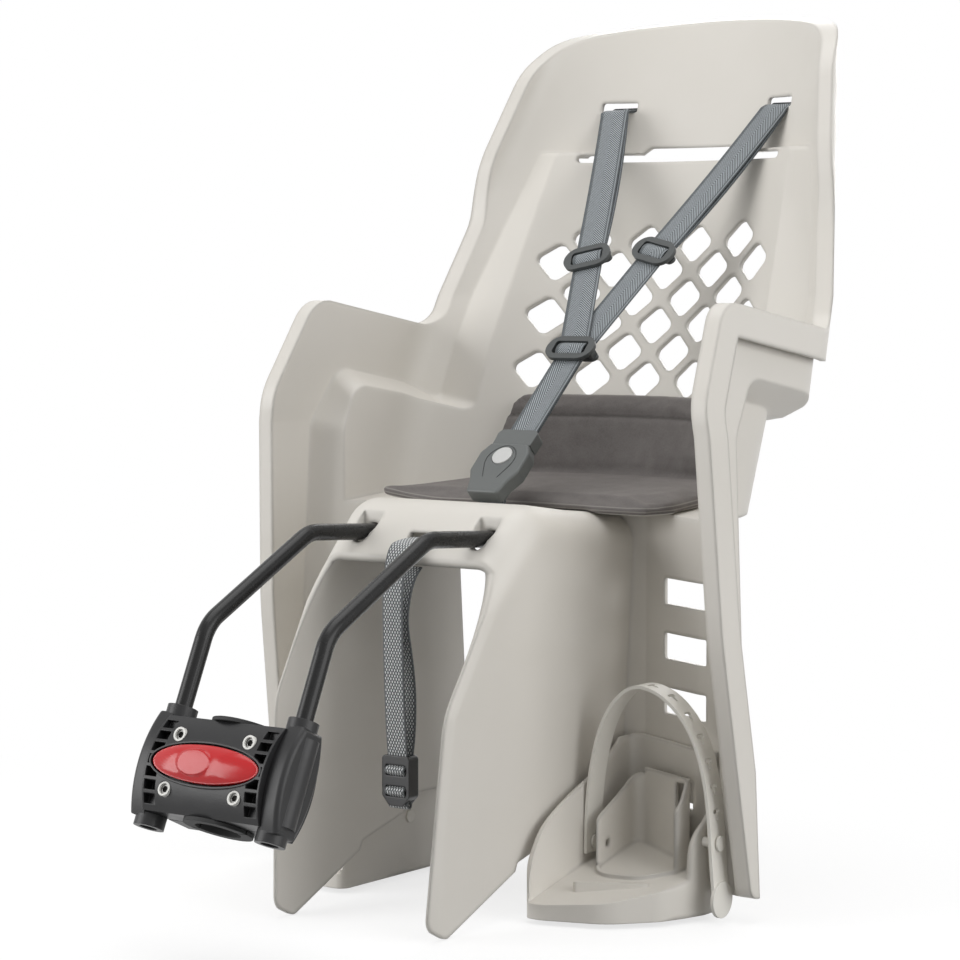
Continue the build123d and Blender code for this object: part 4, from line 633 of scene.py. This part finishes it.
def joined_strap():
    """Joined strap of two layers from the join down into the buckle's tongue, and the loop in its slider."""
    buckle_up, buckle_out = leaning(BUCKLE_LEAN)
    tongue_mouth = BUCKLE_FOOT + buckle_up * TONGUE_UP + buckle_out * TONGUE_OUT
    join_point = np.array([0.0, JOIN_Y, JOIN_Z])
    down = unit(tongue_mouth - join_point)
    out = np.array([0.0, down[2], -down[1]])
    length = float(np.linalg.norm(tongue_mouth - join_point))
    middle = join_point + down * np.linspace(JOINED_START, length + JOINED_INSIDE, 40)[:, None]
    level_strap("joined_webbing_front", "webbing", middle + out * JOINED_FRONT,
                stands_for=("harness_strap",))
    level_strap("joined_webbing_back", "webbing", middle - out * JOINED_BACK, width=INNER_WIDTH,
                thickness=INNER_THICKNESS)
    bend_up, bend_out = leaning((STRAP_LEAN + float(np.arctan2(-down[1], -down[2]))) / 2)
    slider_loop("slider_loop_join", join_point, bend_up, bend_out, frame_under=3.2)


joined_strap()

# Crotch strap that ties the buckle to the pan
crotch_line = np.linspace([0.0, 77.0, 275.0], [0.0, 77.0, 300.0], 12)
level_strap("crotch_webbing", "webbing", crotch_line, stands_for=("crotch_strap",))

# Safety strap: out of the apron, down, through its ladder buckle and back up behind
SAFETY_SILL = 268.4
LADDER_Y = -37.0
safety_line = rounded([
    (0, 8, SAFETY_SILL), (0, -22, SAFETY_SILL), (0, -37, SAFETY_SILL - 4), (0, -42.8, SAFETY_SILL - 32),
    (0, -42.8, 208), (0, -41, 163), (0, -38.5, 126), (0, LADDER_Y, 116), (0, LADDER_Y, 100),
    (0, LADDER_Y, 80.5), (0, -34.5, 77.5), (0, -32, 80.5), (0, -32, 100), (0, -31.5, 113), (0, -28, 130),
    (0, -27, 160), (0, -31.5, 188), (0, -37, 211), (0, -34, 228), (0, -28, 242), (0, -20, 249),
])
level_strap("safety_webbing", "safety_webbing", safety_line, width=SAFETY_WIDTH,
            stands_for=("safety_strap",))

upright, forward = leaning(0.0)
for name, height in (("ladder_loop_high", 105.5), ("ladder_loop_low", 90.5)):
    slider_loop(name, np.array([0.0, LADDER_Y, height]), upright, forward, frame_under=1.6,
                slot="safety_webbing", width=SAFETY_LOOP_WIDTH, stretch=0.41)

# Pad's bed on the shell, in millimetres of seat coordinates: the pan's line, and the backrest's arc
PAN_Y, PAN_Z = [92, 200, 480], [280, 288, 282]
BACK_Y, BACK_Z = 366, 593
BACK_LEAN = np.radians(21)
BACK_RADIUS = 205

# Pad's thickness, the depth below which its underside is held, and where its top face starts
PAD_THICKNESS = 10.5
HELD_DEPTH = 4.5
TOP_DEPTH, TOP_BLEND = 6.5, 2.0

# Remeshing in metres, and the cloth's pressure, steps and longest move in metres
PAD_VOXEL = 0.003
PUFF_PRESSURE = 4.0
PUFF_STEPS = 20
PUFF_LIMIT = 0.003

# Seams: how deep they pull and how wide, with the width of the painted shade along the top seam and the
# fold's slope
TOP_SEAM_Z = 346
TOP_SEAM_PULL, TOP_SEAM_WIDTH, TOP_SEAM_SHADE_WIDTH = 1.9, 2.6, 2.2
FOLD_PULL, FOLD_WIDTH, FOLD_SLOPE = 1.3, 3.4, 1.6
NO_SEAM = 99

# Outline: where the back part starts, the shares that the pad is drawn in by, and the corner that curls,
# with its move in metres
BACK_PART_Z, BACK_PART_BLEND = 298, 20
BACK_PART_SHARE = 0.12
WAIST_Y, WAIST_LENGTH, WAIST_SHARE = 172, 46, 0.24
CURL_X, CURL_X_BLEND = 66, 54
CURL_Y, CURL_Y_BLEND = 135, 50
CURL_MOVE = np.array([-0.013, -0.005, 0.010])


def pad_depth(points):
    """How far points in seat coordinates lie in front of the shell: over the pan, and off the backrest.

    The pan is a bent line from front to back. The backrest is an arc in plan that leans back, 12 mm in
    front of the tub.
    """
    x, y, z = points.T
    over_pan = z - np.interp(y, PAN_Y, PAN_Z)
    hollow = BACK_RADIUS - np.sqrt(np.maximum(BACK_RADIUS**2 - x**2, 1))
    back = BACK_Y + (z - BACK_Z) * np.tan(BACK_LEAN) - hollow
    return over_pan, (back - y) * np.cos(BACK_LEAN)


def point_values(mesh, key):
    """Three values of each of a mesh's points, such as its place or its normal, as an array."""
    values = np.empty(len(mesh.vertices) * 3)
    mesh.vertices.foreach_get(key, values)
    return values.reshape(-1, 3)


def set_points(mesh, points):
    """Moves a mesh's points."""
    mesh.vertices.foreach_set("co", points.ravel())
    mesh.update()


def set_attribute(mesh, name, values):
    """Adds a value for each of a mesh's points, for the finish to read."""
    added = mesh.attributes.new(name, "FLOAT", "POINT")
    added.data.foreach_set("value", values.astype(np.float32))


def baked(piece):
    """Puts what a piece's modifiers give into its mesh, and takes the modifiers off."""
    shown = piece.evaluated_get(bpy.context.evaluated_depsgraph_get())
    mesh = bpy.data.meshes.new_from_object(shown)
    piece.modifiers.clear()
    piece.data = mesh


def remeshed_pad():
    """A piece with the pad's solid form, in even small faces, smoothed."""
    mesh = frame["nodes"]["seat_pad"].data.copy()
    mesh.materials.clear()
    mesh.materials.append(finishes["pad"])
    piece = new_object("sewn_pad", mesh)
    weld = piece.modifiers.new("weld", "WELD")
    weld.merge_threshold = WELD_DISTANCE
    remesh = piece.modifiers.new("remesh", "REMESH")
    remesh.mode = "VOXEL"
    remesh.voxel_size = PAD_VOXEL
    remesh.use_smooth_shade = True
    soften = piece.modifiers.new("soften", "SMOOTH")
    soften.factor = 0.5
    soften.iterations = 10
    baked(piece)
    return piece


def puff(piece, depth):
    """Swells the pad by cloth pressure, with the underside held and every point's move capped."""
    before = point_values(piece.data, "co")
    held = piece.vertex_groups.new(name="held")
    held.add(np.flatnonzero(depth < HELD_DEPTH).tolist(), 1.0, "REPLACE")
    cloth = piece.modifiers.new("puff", "CLOTH")
    cloth.settings.vertex_group_mass = "held"
    cloth.settings.use_pressure = True
    cloth.settings.uniform_pressure_force = PUFF_PRESSURE
    cloth.settings.effector_weights.gravity = 0.0
    for moment in range(1, PUFF_STEPS + 1):
        bpy.context.scene.frame_set(moment)
    baked(piece)
    bpy.context.scene.frame_set(1)
    move = point_values(piece.data, "co") - before
    length = np.linalg.norm(move, axis=1, keepdims=True)
    kept_share = np.minimum(1.0, PUFF_LIMIT / np.maximum(length, 1e-9))
    set_points(piece.data, before + move * kept_share)


def sewn_pad():
    """The seat pad: the solid's form, remeshed, puffed up by cloth pressure and pulled in along its seams.

    A seam pulls the top in by a bell curve of the distance from the seam's line. One seam runs under the
    top edge of the back part, and one follows the fold between the back part and the pan. The left side
    is drawn in to a waist by a bell curve along the pan, the back part is drawn in evenly, and the left
    front corner curls up by a smooth step of the distance to it.
    """
    piece = remeshed_pad()
    over_pan, off_back = pad_depth(in_seat(point_values(piece.data, "co")))
    depth = np.minimum(over_pan, off_back)
    puff(piece, depth)
    mesh = piece.data
    points = point_values(mesh, "co")
    normals = point_values(mesh, "normal")
    x, y, z = in_seat(points).T
    top = ramp(depth, TOP_DEPTH, TOP_BLEND)
    from_top_seam = np.where(off_back < over_pan, np.abs(z - TOP_SEAM_Z), NO_SEAM)
    from_fold = np.abs(over_pan - off_back) / FOLD_SLOPE
    pull = TOP_SEAM_PULL * bell(from_top_seam, TOP_SEAM_WIDTH) + FOLD_PULL * bell(from_fold, FOLD_WIDTH)
    points = points - normals * (pull * top / 1000)[:, None]
    raised = ramp(z, BACK_PART_Z, BACK_PART_BLEND)
    waist = WAIST_SHARE * bell(y - WAIST_Y, WAIST_LENGTH) * (1 - raised) * (x < 0)
    points[:, 0] *= 1 - waist - BACK_PART_SHARE * raised
    corner = ramp(-x, CURL_X, CURL_X_BLEND) * ramp(-y, -CURL_Y, CURL_Y_BLEND)
    points = points + eased(corner)[:, None] * CURL_MOVE
    set_points(mesh, points)
    # The seam attribute marks where the finish paints shade along the top seam
    set_attribute(mesh, "seam", bell(from_top_seam, TOP_SEAM_SHADE_WIDTH) * top)
    set_attribute(mesh, "layer", np.clip(depth / PAD_THICKNESS, 0, 1.2))
    shade_smooth(mesh)
    finer = piece.modifiers.new("finer", "SUBSURF")
    finer.levels = 1
    finer.render_levels = 1
    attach(piece, "seat")
    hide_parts("seat_pad")


sewn_pad()


def photo_camera():
    """Camera of the picture: in front of the seat and round towards +X, a little above, with a long lens."""
    data = bpy.data.cameras.new("photo_camera")
    data.lens = CAMERA_LENS
    data.sensor_width = CAMERA_SENSOR
    camera = new_object("photo_camera", data)
    camera.location = CAMERA_PLACE
    camera.rotation_mode = "QUATERNION"
    camera.rotation_quaternion = Vector(CAMERA_SIGHT).to_track_quat("-Z", "Y")
    bpy.context.scene.camera = camera


def soft_box(name, place, target, size, watts):
    """A square studio lamp that faces a target."""
    data = bpy.data.lights.new(name, "AREA")
    data.size = size
    data.energy = watts
    lamp = new_object(name, data)
    lamp.location = place
    lamp.rotation_mode = "QUATERNION"
    lamp.rotation_quaternion = (Vector(target) - Vector(place)).to_track_quat("-Z", "Y")


def seen_rays(tree):
    """Output that is 1 on the rays which show the background: camera, glossy and transmission rays."""
    rays = tree.nodes.new("ShaderNodeLightPath")
    seen = rays.outputs["Is Camera Ray"]
    for kind in ("Is Glossy Ray", "Is Transmission Ray"):
        either = tree.nodes.new("ShaderNodeMath")
        either.operation = "MAXIMUM"
        tree.links.new(seen, either.inputs[0])
        tree.links.new(rays.outputs[kind], either.inputs[1])
        seen = either.outputs[0]
    return seen


def mixed(tree, share, first, second):
    """Shader that goes from the first to the second as a share goes from 0 to 1."""
    made = tree.nodes.new("ShaderNodeMixShader")
    for socket, source in zip(made.inputs, (share, first, second)):
        tree.links.new(source, socket)
    return made.outputs[0]


def soft_light():
    """A dim pale room that looks white, and the lamps."""
    world = bpy.data.worlds.new("pale_room")
    world.use_nodes = True
    tree = world.node_tree
    room = tree.nodes["Background"]
    room.inputs["Color"].default_value = srgb(244, 245, 247)
    room.inputs["Strength"].default_value = ROOM_STRENGTH
    shown = tree.nodes.new("ShaderNodeBackground")
    shown.inputs["Color"].default_value = WHITE
    shown.inputs["Strength"].default_value = 1.0
    either = mixed(tree, seen_rays(tree), room.outputs[0], shown.outputs[0])
    tree.links.new(either, tree.nodes["World Output"].inputs["Surface"])
    bpy.context.scene.world = world
    for lamp in LAMPS:
        soft_box(*lamp)


def pale_floor():
    """A wide floor under the seat that looks white, apart from the seat's shadow near it."""
    low = min(corner[2] for corner in solids_box) - FLOOR_GAP
    around = ((-1, -1), (1, -1), (1, 1), (-1, 1))
    corners = [(side * FLOOR_REACH, end * FLOOR_REACH, low) for side, end in around]
    mesh = bpy.data.meshes.new("floor")
    mesh.from_pydata(corners, [], [(0, 1, 2, 3)])
    floor = new_object("floor", mesh)
    grey = srgb(150, 150, 150)
    made = Finish("pale_floor", grey, 0.9)
    mesh.materials.append(made.material)
    white = made.node("ShaderNodeEmission")
    white.inputs["Color"].default_value = WHITE
    glow = made.node("ShaderNodeEmission")
    glow.inputs["Color"].default_value = WHITE
    glow.inputs["Strength"].default_value = FLOOR_GLOW
    shaded = made.node("ShaderNodeBsdfDiffuse")
    shaded.inputs["Color"].default_value = grey
    near = made.node("ShaderNodeAddShader")
    made.join(glow.outputs[0], near.inputs[0])
    made.join(shaded.outputs[0], near.inputs[1])
    from_middle = made.node("ShaderNodeVectorMath", operation="LENGTH")
    made.join(made.place(), from_middle.inputs[0])
    fade = made.span(from_middle.outputs["Value"], *SHADOW_FADE, smooth=True)
    shown = mixed(made.tree, fade, near.outputs[0], white.outputs[0])
    either = mixed(made.tree, seen_rays(made.tree), made.shader.outputs[0], shown)
    made.join(either, made.tree.nodes["Material Output"].inputs["Surface"])


photo_camera()
soft_light()
pale_floor()
bpy.context.scene.view_settings.view_transform = "Standard"
